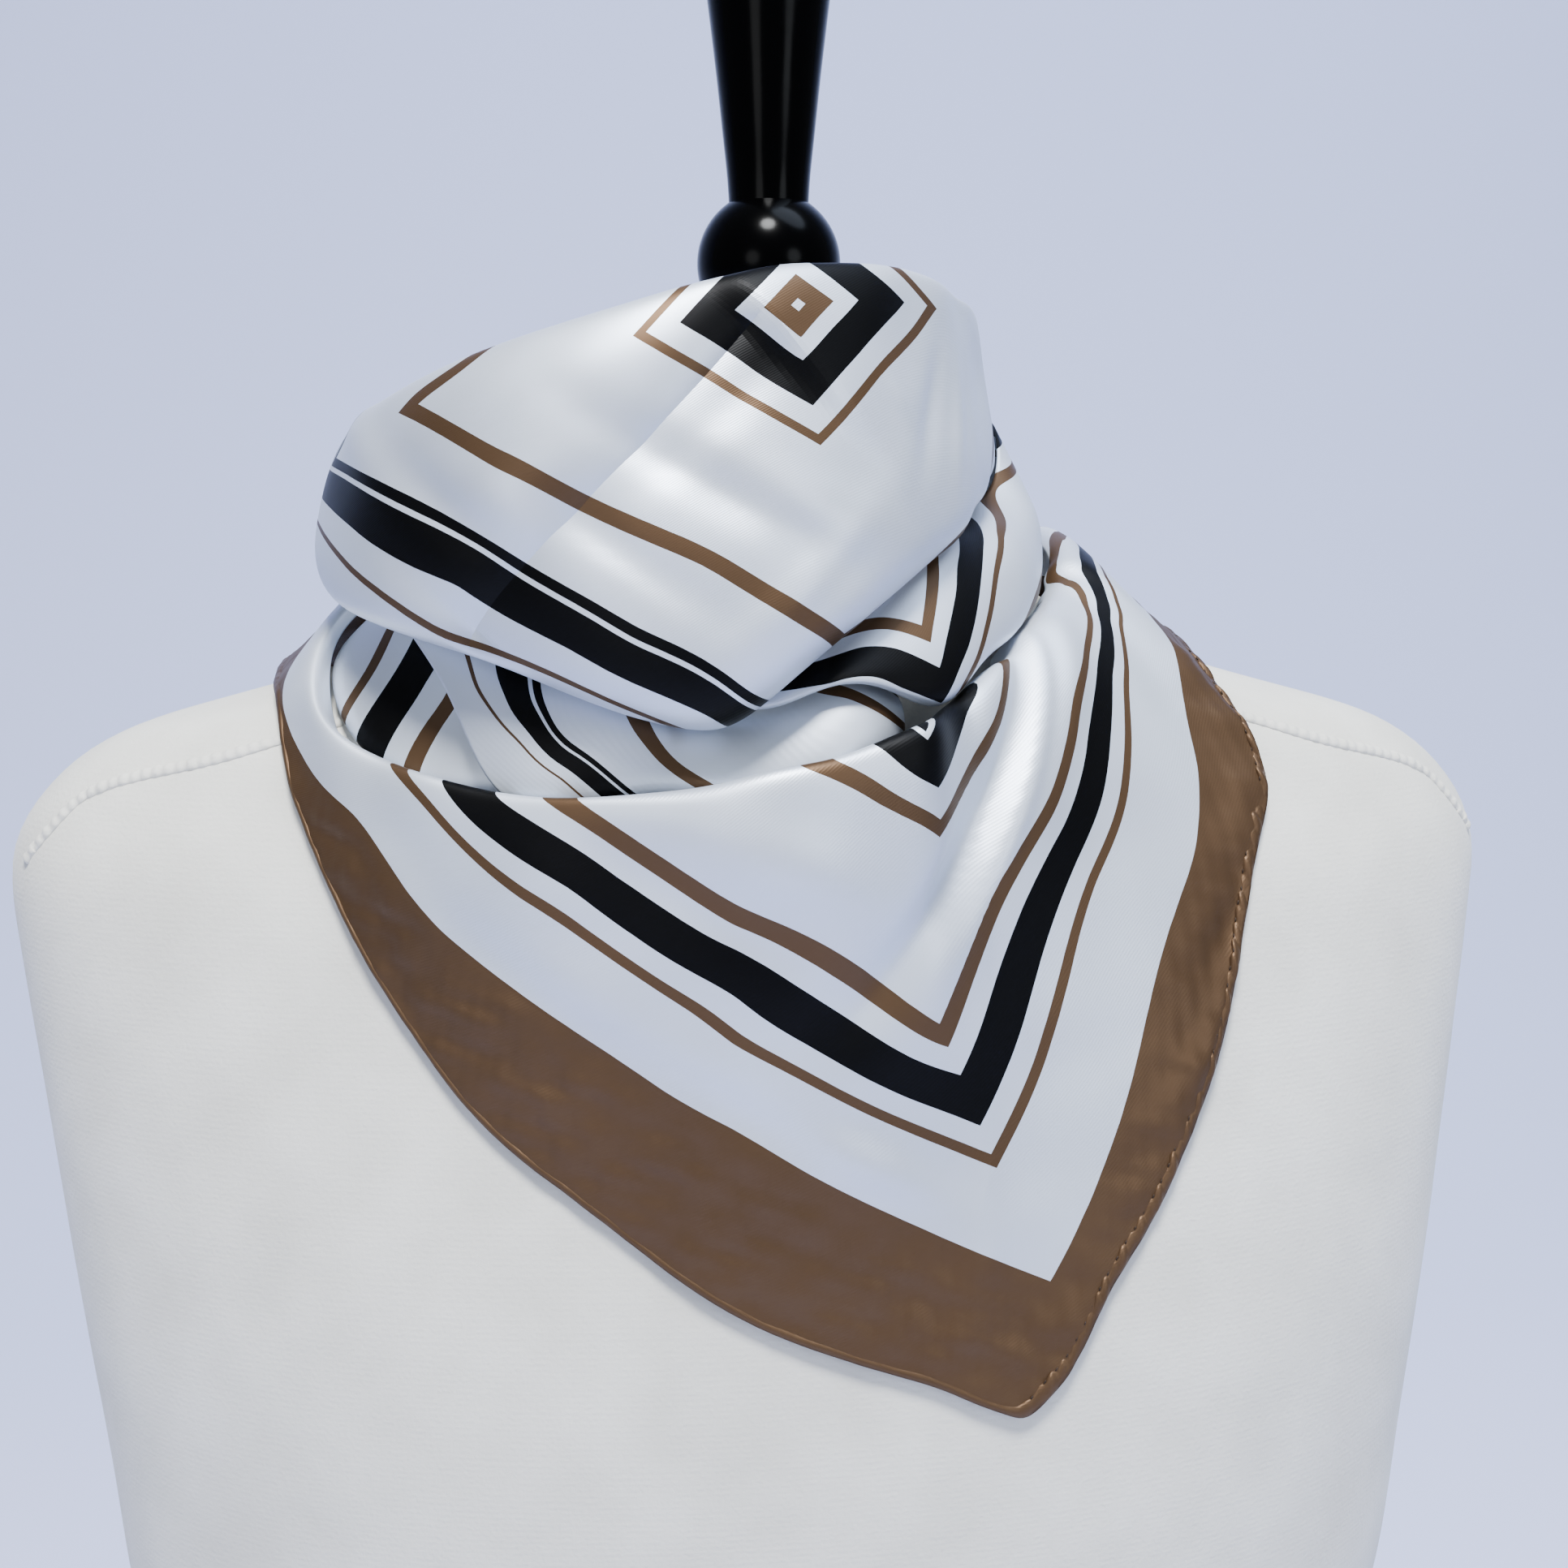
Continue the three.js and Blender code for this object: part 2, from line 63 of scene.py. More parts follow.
# curves and tables
def naturalSpline(keys, values):
    t, y = np.array(keys, float), np.array(values, float)
    n = len(t)
    slope, ratio, bend = np.zeros((3, n))
    for i in range(1, n - 1):
        before = t[i] - t[i - 1]
        after = t[i + 1] - t[i]
        share = before / (before + after)
        pivot = share * ratio[i - 1] + 2
        ratio[i] = (share - 1) / pivot
        turn = (y[i + 1] - y[i]) / after - (y[i] - y[i - 1]) / before
        slope[i] = (6 * turn / (before + after) - share * slope[i - 1]) / pivot
    for i in range(n - 2, 0, -1):
        bend[i] = ratio[i] * bend[i + 1] + slope[i]

    def at(x):
        x = np.clip(np.asarray(x, float), t[0], t[-1])
        i = np.clip(np.searchsorted(t, x) - 1, 0, n - 2)
        gap = t[i + 1] - t[i]
        a, b = (t[i + 1] - x) / gap, (x - t[i]) / gap
        curve = ((a ** 3 - a) * bend[i] + (b ** 3 - b) * bend[i + 1]) * gap * gap
        return a * y[i] + b * y[i + 1] + curve / 6

    return at


def columns(table, closed=False):
    # every column of a table at any value of its first one
    rows = [list(row) for row in table]
    if closed:  # a few rows before and after carry the curves on over the join
        body = rows[:-1]
        before = [[row[0] - 360] + row[1:] for row in body[-4:]]
        after = [[row[0] + 360] + row[1:] for row in body[:5]]
        rows = before + body + after
    keys = [row[0] for row in rows]
    curves = [naturalSpline(keys, [row[c] for row in rows]) for c in range(1, len(rows[0]))]
    return lambda key: [float(curve(key)) for curve in curves]


def runAlong(line):
    # the distance of each point of a line from its start
    return np.concatenate([[0], np.cumsum(np.linalg.norm(np.diff(line, axis=0), axis=1))])


def alongProfile(profile, shares):
    # radius and height at shares of the way along the smooth curve through a profile
    line = np.array(profile, float)
    run = runAlong(line)
    return [naturalSpline(run, values)(shares * run[-1]) for values in line.T]


def smoothStep(low, high, value):
    t = np.clip((np.asarray(value, float) - low) / (high - low), 0, 1)
    return t * t * (3 - 2 * t)


def between(start, full, fading, end, value):
    # 1 from full to fading, and 0 before start and past end
    return smoothStep(start, full, value) * (1 - smoothStep(fading, end, value))


def unit(vectors):
    return vectors / np.linalg.norm(vectors, axis=1, keepdims=True)


def onAzimuth(azimuth, radius, height):
    turn = np.radians(azimuth)
    return np.stack([radius * np.sin(turn), -radius * np.cos(turn), height], axis=-1)


def azimuthOf(points):
    return np.degrees(np.arctan2(points[..., 0], -points[..., 1]))


def waves(x, y, seed):
    # a smooth uneven field between about -1 and 1, the same on every run
    rng = np.random.default_rng(seed)
    count, spread = 5, 1.4
    total = np.zeros(np.broadcast(x, y).shape)
    for _ in range(count):
        angle, phase = rng.uniform(0, math.tau, 2)
        size = rng.uniform(0.6, 1.5)
        total = total + np.sin(size * (x * math.cos(angle) + y * math.sin(angle)) * math.tau + phase)
    return total / count * spread


def throughMarks(marks, softness=40):
    # a smooth field over azimuth and height that takes each mark's value
    table = [(*place, value) for value, places in marks.items() for place in places]
    azimuths, heights, values = np.array(table, float).T
    spots = np.column_stack([azimuths * perDegree, heights])

    def bulge(distance):
        return distance ** 2 * np.log(np.maximum(distance, 1e-9))

    n = len(spots)
    gaps = np.linalg.norm(spots[:, None] - spots[None], axis=2)
    system = np.zeros((n + 3, n + 3))
    system[:n, :n] = bulge(gaps) + np.eye(n) * softness
    system[:n, n] = system[n, :n] = 1
    system[:n, n + 1:] = spots
    system[n + 1:, :n] = spots.T
    weights = np.linalg.solve(system, np.concatenate([values, np.zeros(3)]))

    def at(azimuth, height):
        x = azimuth * perDegree
        value = weights[n] + weights[n + 1] * x + weights[n + 2] * height
        for k in range(n):
            value = value + weights[k] * bulge(np.hypot(x - spots[k, 0], height - spots[k, 1]))
        return value

    return at


# meshes
def gridNormals(points, closed):
    if closed:
        along = np.roll(points[:-1], -1, axis=0) - np.roll(points[:-1], 1, axis=0)
        along = np.concatenate([along, along[:1]])
    else:
        along = np.gradient(points, axis=0)
    out = np.cross(np.gradient(points, axis=1), along)
    return out / np.maximum(np.linalg.norm(out, axis=2, keepdims=True), 1e-9)


def finishMesh(bm, name):
    mesh = bpy.data.meshes.new(name)
    bm.to_mesh(mesh)
    bm.free()
    for face in mesh.polygons:
        face.use_smooth = True
    piece = bpy.data.objects.new(name, mesh)
    bpy.context.scene.collection.objects.link(piece)
    return piece


def closedPiece(bm, name):
    # fills the open ends and turns every face outwards
    rims = [edge for edge in bm.edges if edge.is_boundary]
    if rims:
        bmesh.ops.holes_fill(bm, edges=rims, sides=0)
    bmesh.ops.recalc_face_normals(bm, faces=bm.faces)
    return finishMesh(bm, name)


def gridMesh(points, closedAlong=False, closedAcross=False, cloth=None):
    # a grid moved onto the points, with the cloth's own coordinates as its UV map
    stations, rows = points.shape[0] - 1, points.shape[1] - 1
    bm = bmesh.new()
    bmesh.ops.create_grid(bm, x_segments=stations, y_segments=rows, size=1)
    kept = bm.verts.layers.float_vector.new("gridPlace")
    place = {}
    for vert in bm.verts:
        i = round((vert.co.x + 1) / 2 * stations)
        j = round((vert.co.y + 1) / 2 * rows)
        place[vert] = (i, j)
        vert[kept] = (i, j, 0)
        vert.co = Vector(points[i, j] * mm)
    if cloth is not None:
        layer = bm.loops.layers.uv.new("cloth")
        for face in bm.faces:
            for loop in face.loops:
                i, j = place[loop.vert]
                loop[layer].uv = (cloth[0][i, j] * mm, cloth[1][i, j] * mm)
    seam = [v for v, (i, j) in place.items()
            if (closedAlong and i in (0, stations)) or (closedAcross and j in (0, rows))]
    if seam:
        bmesh.ops.remove_doubles(bm, verts=seam, dist=1e-6)
    return bm


def addCrease(piece, points, crease):
    # how far each point lies from a pressed line, and how deep the line is there
    azimuth = azimuthOf(points)
    (startX, startY), (endX, endY) = crease["start"], crease["end"]
    runX, runY = (endX - startX) * perDegree, endY - startY
    length = math.hypot(runX, runY)
    ux, uy = runX / length, runY / length
    x, y = azimuth * perDegree - startX * perDegree, points[..., 2] - startY
    along, across = x * ux + y * uy, x * uy - y * ux
    fade = between(-crease["fade"], crease["fade"], length - crease["fade"], length + crease["fade"], along)
    near = np.abs(azimuth - (startX + endX) / 2) < 60
    stored = np.zeros(len(piece.data.vertices) * 3, np.float32)
    piece.data.attributes["gridPlace"].data.foreach_get("vector", stored)
    i, j = np.rint(stored.reshape(-1, 3)[:, :2]).astype(int).T
    for name, values in (("creaseGap", across), ("creaseDepth", fade * near * crease["depth"])):
        layer = piece.data.attributes.new(name, "FLOAT", "POINT")
        layer.data.foreach_set("value", (values[i, j] * mm).astype(np.float32))


# materials
colors = {
    "white": (0.63, 0.68, 0.765),
    "brown": (0.084, 0.048, 0.0245),
    "black": (0.0012, 0.0012, 0.0015),
    # partly painted shade: the thread is darker than the brown border, so the stitches also stand for the shade in
    # their needle holes
    "thread": (0.03, 0.018, 0.011),
    "lacquer": (0.0004, 0.0004, 0.0005),
    "jerseyDark": (0.635, 0.622, 0.562),
    "jerseyLight": (0.745, 0.732, 0.668),
}


def nodeTools(tree):
    # a value that is another node's output is linked, and any other one is set
    def feed(socket, value):
        if isinstance(value, bpy.types.NodeSocket):
            tree.links.new(value, socket)
        else:
            socket.default_value = value

    def add(kind, inputs, **settings):
        node = tree.nodes.new("ShaderNode" + kind)
        for name, value in settings.items():
            setattr(node, name, value)
        for name, value in inputs.items():
            feed(node.inputs[name], value)
        return node.outputs

    def calc(operation, *values):
        return add("Math", dict(enumerate(values)), operation=operation)[0]

    def ramp(value, stops, interpolation):
        # a position and a colour's name for each stop
        node = tree.nodes.new("ShaderNodeValToRGB")
        node.color_ramp.interpolation = interpolation
        steps = node.color_ramp.elements
        steps.remove(steps[1])
        for k, (position, color) in enumerate(stops):
            stop = steps.new(position) if k else steps[0]
            stop.position, stop.color = position, (*colors[color], 1)
        feed(node.inputs[0], value)
        return node.outputs[0]

    return feed, add, calc, ramp


def mapRange(add, value, toLow, toHigh, fromLow=0, fromHigh=1, **settings):
    return add("MapRange", {"Value": value, "From Min": fromLow, "From Max": fromHigh,
                            "To Min": toLow, "To Max": toHigh}, **settings)[0]


def newGroup(name, numbers, output, kind):
    # a group that reads the cloth's coordinates and some numbers
    group = bpy.data.node_groups.new(name, "ShaderNodeTree")
    addSocket = group.interface.new_socket
    addSocket("Cloth", in_out="INPUT", socket_type="NodeSocketVector")
    for label, value in numbers.items():
        addSocket(label, in_out="INPUT", socket_type="NodeSocketFloat").default_value = value
    addSocket(output, in_out="OUTPUT", socket_type=kind)
    source, result = group.nodes.new("NodeGroupInput"), group.nodes.new("NodeGroupOutput")
    return group, source.outputs, result.inputs[output]


def nestedStripesGroup():
    # nested squares: the colour follows the distance from the nearest side of the cut
    group, source, result = newGroup("nestedStripes", {"Unevenness": 0.00012}, "Color", "NodeSocketColor")
    feed, add, calc, ramp = nodeTools(group)
    cloth, side, half = source["Cloth"], scarf["side"] * mm, scarf["side"] / 2
    a, b = add("SeparateXYZ", {0: cloth})[:2]
    far = calc("SUBTRACT", side, calc("MAXIMUM", a, b))
    distance = calc("MINIMUM", calc("MINIMUM", a, b), far)
    noise = add("TexNoise", {"Scale": 160, "Detail": 2, "Vector": cloth})["Fac"]
    wander = calc("MULTIPLY", calc("SUBTRACT", noise, 0.5), source["Unevenness"])
    share = calc("DIVIDE", calc("ADD", distance, wander), side / 2)
    feed(result, ramp(share, [(start / half, color) for start, color in stripes], "CONSTANT"))
    return group


def clothSurfaceGroup():
    # heights in metres: a fine satin weave, slack unevenness, and one pressed crease
    numbers = {
        "Weave Depth": 0.000006,
        "Slack Depth": 0.00012,
        "Crease Gap": 0.0,
        "Crease Depth": 0.0,
        "Crease Left": 0.010,
        "Crease Right": 0.010,
    }
    weavePitch, weaveSlant = 0.0021, 3
    group, source, result = newGroup("clothSurface", numbers, "Height", "NodeSocketFloat")
    feed, add, calc, _ = nodeTools(group)
    cloth, gap = source["Cloth"], source["Crease Gap"]
    a, b = add("SeparateXYZ", {0: cloth})[:2]
    diagonal = calc("ADD", a, calc("MULTIPLY", b, weaveSlant))
    weave = calc("SINE", calc("MULTIPLY", diagonal, math.tau / weavePitch))
    height = calc("MULTIPLY", weave, source["Weave Depth"])
    for scale, share in ((38, 1.0), (115, 0.28)):
        noise = add("TexNoise", {"Scale": scale, "Detail": 1.5, "Vector": cloth})["Fac"]
        bump = calc("MULTIPLY", calc("SUBTRACT", noise, 0.5), share)
        height = calc("ADD", height, calc("MULTIPLY", bump, source["Slack Depth"]))
    onLeft = calc("LESS_THAN", gap, 0.0)
    width = calc("ADD", calc("MULTIPLY", onLeft, source["Crease Left"]),
                 calc("MULTIPLY", calc("SUBTRACT", 1.0, onLeft), source["Crease Right"]))
    dip = calc("EXPONENT", calc("MULTIPLY", calc("DIVIDE", calc("ABSOLUTE", gap), width), -1.0))
    feed(result, calc("SUBTRACT", height, calc("MULTIPLY", dip, source["Crease Depth"])))
    return group


nestedStripes = nestedStripesGroup()
clothSurface = clothSurfaceGroup()


def plainMaterial(name, color, roughness, **constants):
    # a material, the inputs of its shader, and the tools for its node tree
    material = bpy.data.materials.new(name)
    material.use_nodes = True
    shader = material.node_tree.nodes["Principled BSDF"].inputs
    shader["Base Color"].default_value = (*color, 1)
    shader["Roughness"].default_value = roughness
    for label, value in constants.items():
        shader[label.replace("_", " ")].default_value = value
    return material, shader, nodeTools(material.node_tree)


satinLook = {
    "metallic": 0.56,
    "specular": 0.2,
    "roughness": (0.40, 0.52),
    # painted sheen: soft grey and bright patches of this size and range over the dye stand in for the satin's
    # uneven sheen
    "paintedSheenScale": 22,
    "paintedSheen": (0.88, 1.05),
    "paintedHemShade": 0.62,  # painted shade: along the turned hem the print is darkened
    "paintedHemShadeWidth": 16,
}


def satinMaterial(name, creaseLeft=10, creaseRight=10, plain=None, metallic=satinLook["metallic"]):
    # a weave with a broad pearly glance, printed with the stripes or dyed one plain colour, with painted sheen
    # patches over the dye and painted shade along the turned hem of the print
    material, shader, (feed, add, calc, _) = plainMaterial(
        name, colors["white"], 0.42, Specular_IOR_Level=satinLook["specular"], Metallic=metallic)
    cloth = add("UVMap", {}, uv_map="cloth")[0]
    # one noise paints the sheen patches into the colour and varies the roughness
    paintedSheen = add("TexNoise", {"Scale": satinLook["paintedSheenScale"], "Vector": cloth})["Fac"]
    dye = (*(plain or colors["white"]), 1)
    shade = mapRange(add, paintedSheen, *satinLook["paintedSheen"], 0.25, 0.75)
    if plain is None:
        dye = add("Group", {"Cloth": cloth}, node_tree=nestedStripes)["Color"]
        # painted shade: the print is darkened over the last stretch before the turned hem
        fromTurnedHem = add("SeparateXYZ", {0: cloth})[1]
        edge = mapRange(add, fromTurnedHem, satinLook["paintedHemShade"], 1, 0, satinLook["paintedHemShadeWidth"] * mm,
                        interpolation_type="SMOOTHSTEP")
        shade = calc("MULTIPLY", shade, edge)
    tint = add("Mix", {"Factor": 1, "A": dye, "B": shade}, data_type="RGBA", blend_type="MULTIPLY")
    feed(shader["Base Color"], tint["Result"])
    feed(shader["Roughness"], mapRange(add, paintedSheen, *satinLook["roughness"]))
    surface = add("Group", {
        "Cloth": cloth,
        "Crease Left": creaseLeft * mm,
        "Crease Right": creaseRight * mm,
        "Crease Gap": add("Attribute", {}, attribute_name="creaseGap")["Fac"],
        "Crease Depth": add("Attribute", {}, attribute_name="creaseDepth")["Fac"],
    }, node_tree=clothSurface)
    feed(shader["Normal"], add("Bump", {"Strength": 1, "Distance": 1, "Height": surface["Height"]})[0])
    return material


def jerseyMaterial():
    # stretch jersey: fine knit courses, a soft nap and a slight mottle in its colour and surface
    coursePitch, courseDepth, napDepth, softDepth = 0.0014, 0.00001, 0.0002, 0.0006
    material, shader, (feed, add, calc, ramp) = plainMaterial(
        "formJersey", colors["jerseyLight"], 0.95, Specular_IOR_Level=0.2, Sheen_Weight=0.15)
    place = add("TexCoord", {})["Object"]
    soft = add("TexNoise", {"Scale": 34, "Detail": 4, "Vector": place})["Fac"]
    nap = add("TexNoise", {"Scale": 900, "Detail": 3, "Vector": place})["Fac"]
    feed(shader["Base Color"], ramp(soft, [(0.3, "jerseyDark"), (0.7, "jerseyLight")], "LINEAR"))
    upward = add("SeparateXYZ", {0: place})[2]
    courses = calc("SINE", calc("MULTIPLY", upward, math.tau / coursePitch))
    height = calc("ADD", calc("MULTIPLY", courses, courseDepth), calc("MULTIPLY", nap, napDepth))
    height = calc("ADD", height, calc("MULTIPLY", soft, softDepth))
    feed(shader["Normal"], add("Bump", {"Strength": 0.8, "Distance": 1, "Height": height})[0])
    return material


def lacquerMaterial():
    material, shader, (feed, add, calc, _) = plainMaterial(
        "blackLacquer", colors["lacquer"], 0.14, Specular_IOR_Level=0.05)
    place = add("TexCoord", {})["Object"]
    noise = add("TexNoise", {"Scale": 60, "Detail": 3, "Vector": place})["Fac"]
    feed(shader["Roughness"], mapRange(add, noise, 0.1, 0.24))
    height = calc("MULTIPLY", noise, 0.0001)
    feed(shader["Normal"], add("Bump", {"Strength": 0.5, "Distance": 1, "Height": height})[0])
    return material


satin = satinMaterial("printedSatin", 10, 27)
satinDrape = satinMaterial("printedSatinDrape", 9, 9)
jersey = jerseyMaterial()
lacquer = lacquerMaterial()
brownSatin = satinMaterial("brownSatin", plain=colors["brown"])
# the stitches' thread, with partly painted shade of the needle holes
threadAndHoleShade = satinMaterial("threadAndHoleShade", plain=colors["thread"], metallic=0)
print("stage: materials")


def dress(piece, material, node=None):
    # a piece's finish and its place in the frame
    piece.data.materials.append(material)
    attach(piece, "root")
    if node:
        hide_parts(node)
    return piece


def clothPiece(name, node, points, cloth, closed=False, crease=None, material=satin):
    # a sheet of cloth on a grid of points
    piece = finishMesh(gridMesh(points, closed, False, cloth), name)
    if crease:
        addCrease(piece, points, crease)
    wall = piece.modifiers.new("wall", "SOLIDIFY")
    wall.thickness = scarf["thickness"] * mm
    wall.offset = 0
    return dress(piece, material, node)


def loft(settings, azimuths, profileOf, closed=False):
    # at each azimuth a ring of points, evenly along the profile that its row of the table gives
    at = columns(settings["sections"], closed)
    shares = np.linspace(0, 1, settings["rows"] + 1)
    rings = []
    for azimuth in azimuths:
        lean, profile = profileOf(azimuth, *at(azimuth - 360 if azimuth > 180 else azimuth))
        radius, height = alongProfile(profile, shares)
        rings.append(onAzimuth(azimuth + lean * (2 * shares - 1), radius, height))
    return np.array(rings)


def clothOnSheet(points, settings):
    # each point's distances from the left and the right side of the cut
    azimuth = azimuthOf(points)
    return [throughMarks(settings[marks])(azimuth, points[..., 2]) for marks in ("fromLeft", "fromRight")]


def roundTheBack(points, cloth, behind, start, end):
    # past the shoulders the print runs level with the cloth's edge and meets itself at the nape
    azimuth = azimuthOf(points)
    share = smoothStep(start, end, np.abs(azimuth))
    further = behind + scarf["napeGap"] * (1 - smoothStep(*scarf["napeJoin"], np.abs(azimuth)))
    left = cloth[0] * (1 - share) + np.where(azimuth < 0, behind, further) * share
    right = cloth[1] * (1 - share) + np.where(azimuth < 0, further, behind) * share
    return left, right


def dentRelief(points, dents):
    azimuth = azimuthOf(points)
    total = np.zeros(azimuth.shape)
    for spot, height, halfLength, halfWidth, tilt, depth in dents:
        x, y = (azimuth - spot) * perDegree, points[..., 2] - height
        turn = math.radians(tilt)
        along = x * math.cos(turn) + y * math.sin(turn)
        across = -x * math.sin(turn) + y * math.cos(turn)
        total += depth * np.exp(-(along / halfLength) ** 2 - (across / halfWidth) ** 2)
    return total


def waveRelief(points, rows):
    # each row is a depth, the degrees and the height of a wave, and a seed
    azimuth, height = azimuthOf(points), points[..., 2]
    return sum(depth * waves(azimuth / wide, height / tall, seed) for depth, wide, tall, seed in rows)


def raised(points, relief):
    # moves the points of a closed loop out by the relief
    relief[-1] = relief[0]
    moved = points + gridNormals(points, True) * relief[..., None]
    moved[-1] = moved[0]
    return moved


# upper fold: the cowl loop, with the diagonal fold at its top
upperFold = {
    "stations": 420,
    "rows": 72,
    "innerDrop": 22,
    "lowerCurl": 2.5,
    "frontCurl": 4.5,
    "frontLift": 1.6,
    "edgeRoll": 2.4,
    "edgeRollHeight": 10,
    "levelFrom": (74, 112),  # the azimuths over which the print turns level
    "backPrint": 228,  # the print's distance from the hem at the back, at backHeight
    "backHeight": 530,
    "crease": {"start": (-43.1, 496), "end": (-9.5, 568), "fade": 5, "depth": 6.0},
    "slack": [(0.35, 24, 30, 4)],
    # slack places: azimuth, height, half length, half width, tilt from level, depth
    "dents": [
        [-46, 527, 20, 6, -34, -2.3], [-24, 517, 20, 4.5, -36, -1.8], [-13, 530, 30, 4.8, -30, -2.1],
        [2, 526, 24, 7, -22, 1.2], [13, 551, 5.5, 1.5, -48, 0.7], [21, 548, 16, 4.5, 60, -1.6],
        [29, 545, 16, 4, 66, 1], [-62, 541, 14, 6, -30, 1.4], [-3, 509, 24, 4.5, 42, 1.2],
        [-16, 543, 26, 5, 42, -0.8],
    ],
    # azimuth, inner radius, top radius and height, outer radius and height, lower radius and height
    "sections": [
        [-180, 55, 59, 557, 64, 542, 62, 522], [-150, 64, 70, 555, 75, 540, 72, 522],
        [-130, 74, 82, 551, 89, 535, 86, 518], [-115, 85, 94, 547, 102, 530, 99, 513],
        [-100, 94, 103, 543, 111, 528, 109, 511.5], [-85, 99, 108.5, 541, 116.5, 527, 115, 512],
        [-73, 102, 111, 545, 120, 527, 118, 506], [-60, 103, 112, 551.5, 122, 527, 118, 500],
        [-50, 100, 108, 558, 121.5, 527, 113, 495.5], [-38, 92, 100, 565, 119, 525, 105.5, 488.5],
        [-28, 85, 93.5, 570, 115, 522, 102, 481.5], [-20, 80, 89, 574, 111, 523, 100, 478],
        [-13, 76, 86, 577, 106.5, 525, 98.5, 478], [-8, 73, 83.5, 579, 103, 529, 97, 483],
        [1, 69, 79.5, 580.7, 96, 537, 93, 495.5], [10, 65, 75, 581.5, 88.5, 545, 87, 504.5],
        [20, 60.5, 70, 581.2, 80.5, 550, 80.5, 513.5], [30, 57.5, 66, 579.5, 73.5, 553, 74.5, 519],
        [41, 54.5, 61, 577, 66.5, 555, 65.5, 525], [50, 53, 58.5, 576, 62.5, 556, 61, 529],
        [60, 52, 56, 575, 59.5, 557, 57.5, 531.5], [76, 50.8, 53.8, 572.5, 56.6, 557, 55, 533],
        [110, 51, 54.2, 564, 56.2, 549, 55.7, 532], [150, 53, 57, 559, 61, 545, 60, 527],
        [180, 55, 59, 557, 64, 542, 62, 522],
    ],
    # distance from the cut's left side: where it shows, as azimuth and height
    "fromLeft": {
        294.5: [(-24.7, 563.8), (-12.9, 551.8), (-0.9, 540)],
        303: [(-19.4, 566.7), (-10.7, 557.4), (-1.6, 548.3)], 312.6: [(-12.9, 569.6), (-3, 558.2)],
        318.6: [(-8.4, 570.3), (-3, 563.6)], 325: [(-3.6, 571.4)], 331.4: [(2.3, 572.5)],
        337.4: [(7, 572.9)], 347: [(17.1, 573.4)], 355.5: [(25.8, 572.9)],
        257.5: [(-51.1, 549.2), (-36.3, 537.4), (-27.7, 528.6)],
        253: [(-55.1, 547), (-38.6, 533.7), (-29.3, 525.1), (-15.7, 513.3), (-1.2, 496.6)],
        235.5: [(-76.2, 536.5), (-46.6, 524), (-34.9, 512.4), (-22.7, 498.2), (-10.3, 483.4)],
        224.5: [(-60.7, 521.7), (-43.1, 509.2), (-30.2, 495.2), (-14.7, 480.3)],
        217: [(-74, 521.2), (-60, 510.6), (-46.5, 495.9)],
    },
    # the same from the cut's right side
    "fromRight": {
        294.5: [(-0.9, 540), (9.4, 556.2), (25.8, 572.9)],
        303: [(-1.6, 548.3), (5.9, 560.4), (17.1, 573.4)], 312.6: [(-3, 558.2), (1.5, 565.3), (7, 572.9)],
        318.6: [(-3, 563.6), (2.3, 572.5)], 325: [(-3.6, 571.4)], 331.4: [(-8.4, 570.3)],
        337.4: [(-12.9, 569.6)], 347: [(-19.4, 566.7)], 355.5: [(-24.7, 563.8)],
        397: [(-55.1, 547), (-52.8, 552.6)], 396: [(-47.3, 558.1)], 259.5: [(-1.2, 496.6)],
        261: [(7.1, 506.1)], 263: [(17.8, 519.6)], 266: [(29.7, 532.7)], 280: [(37.4, 550.4)],
    },
}


def upperProfile(azimuth, innerR, topR, topZ, outR, outZ, lowR, lowZ):
    front = float(between(-95, -75, 38, 52, azimuth))
    curl = upperFold["lowerCurl"] + front * (upperFold["frontCurl"] - upperFold["lowerCurl"])
    return 0, [(innerR, topZ - upperFold["innerDrop"]), (topR, topZ), (outR, outZ), (lowR, lowZ),
               (lowR - curl, lowZ + 0.5 + upperFold["frontLift"] * front)]


def buildUpperFold():
    azimuths = np.linspace(-180, 180, upperFold["stations"] + 1)
    points = loft(upperFold, azimuths, upperProfile, True)
    azimuth = azimuthOf(points)
    behind = upperFold["backPrint"] + 1.2 * (points[..., 2] - upperFold["backHeight"])
    cloth = roundTheBack(points, clothOnSheet(points, upperFold), behind, *upperFold["levelFrom"])
    outer = np.linspace(0, 1, upperFold["rows"] + 1)[None]
    slack = dentRelief(points, upperFold["dents"]) * smoothStep(0.2, 0.3, outer)
    slack += waveRelief(points, upperFold["slack"]) * smoothStep(0.25, 0.4, outer)
    points = raised(points, slack)
    # the lower front edge rolls in
    above = points[..., 2] - points[..., 2].min(axis=1, keepdims=True)
    roll = np.clip(1 - above / upperFold["edgeRollHeight"], 0, 1) ** 2 * upperFold["edgeRoll"]
    roll *= smoothStep(0.3, 0.4, outer) * between(-44, -14, 34, 48, azimuth)
    points[..., :2] *= (1 - roll / np.linalg.norm(points[..., :2], axis=2))[..., None]
    piece = clothPiece("cowl_upper_fold", "scarf_upper_fold", points, cloth, True, upperFold["crease"])


buildUpperFold()
print("stage: upper fold")

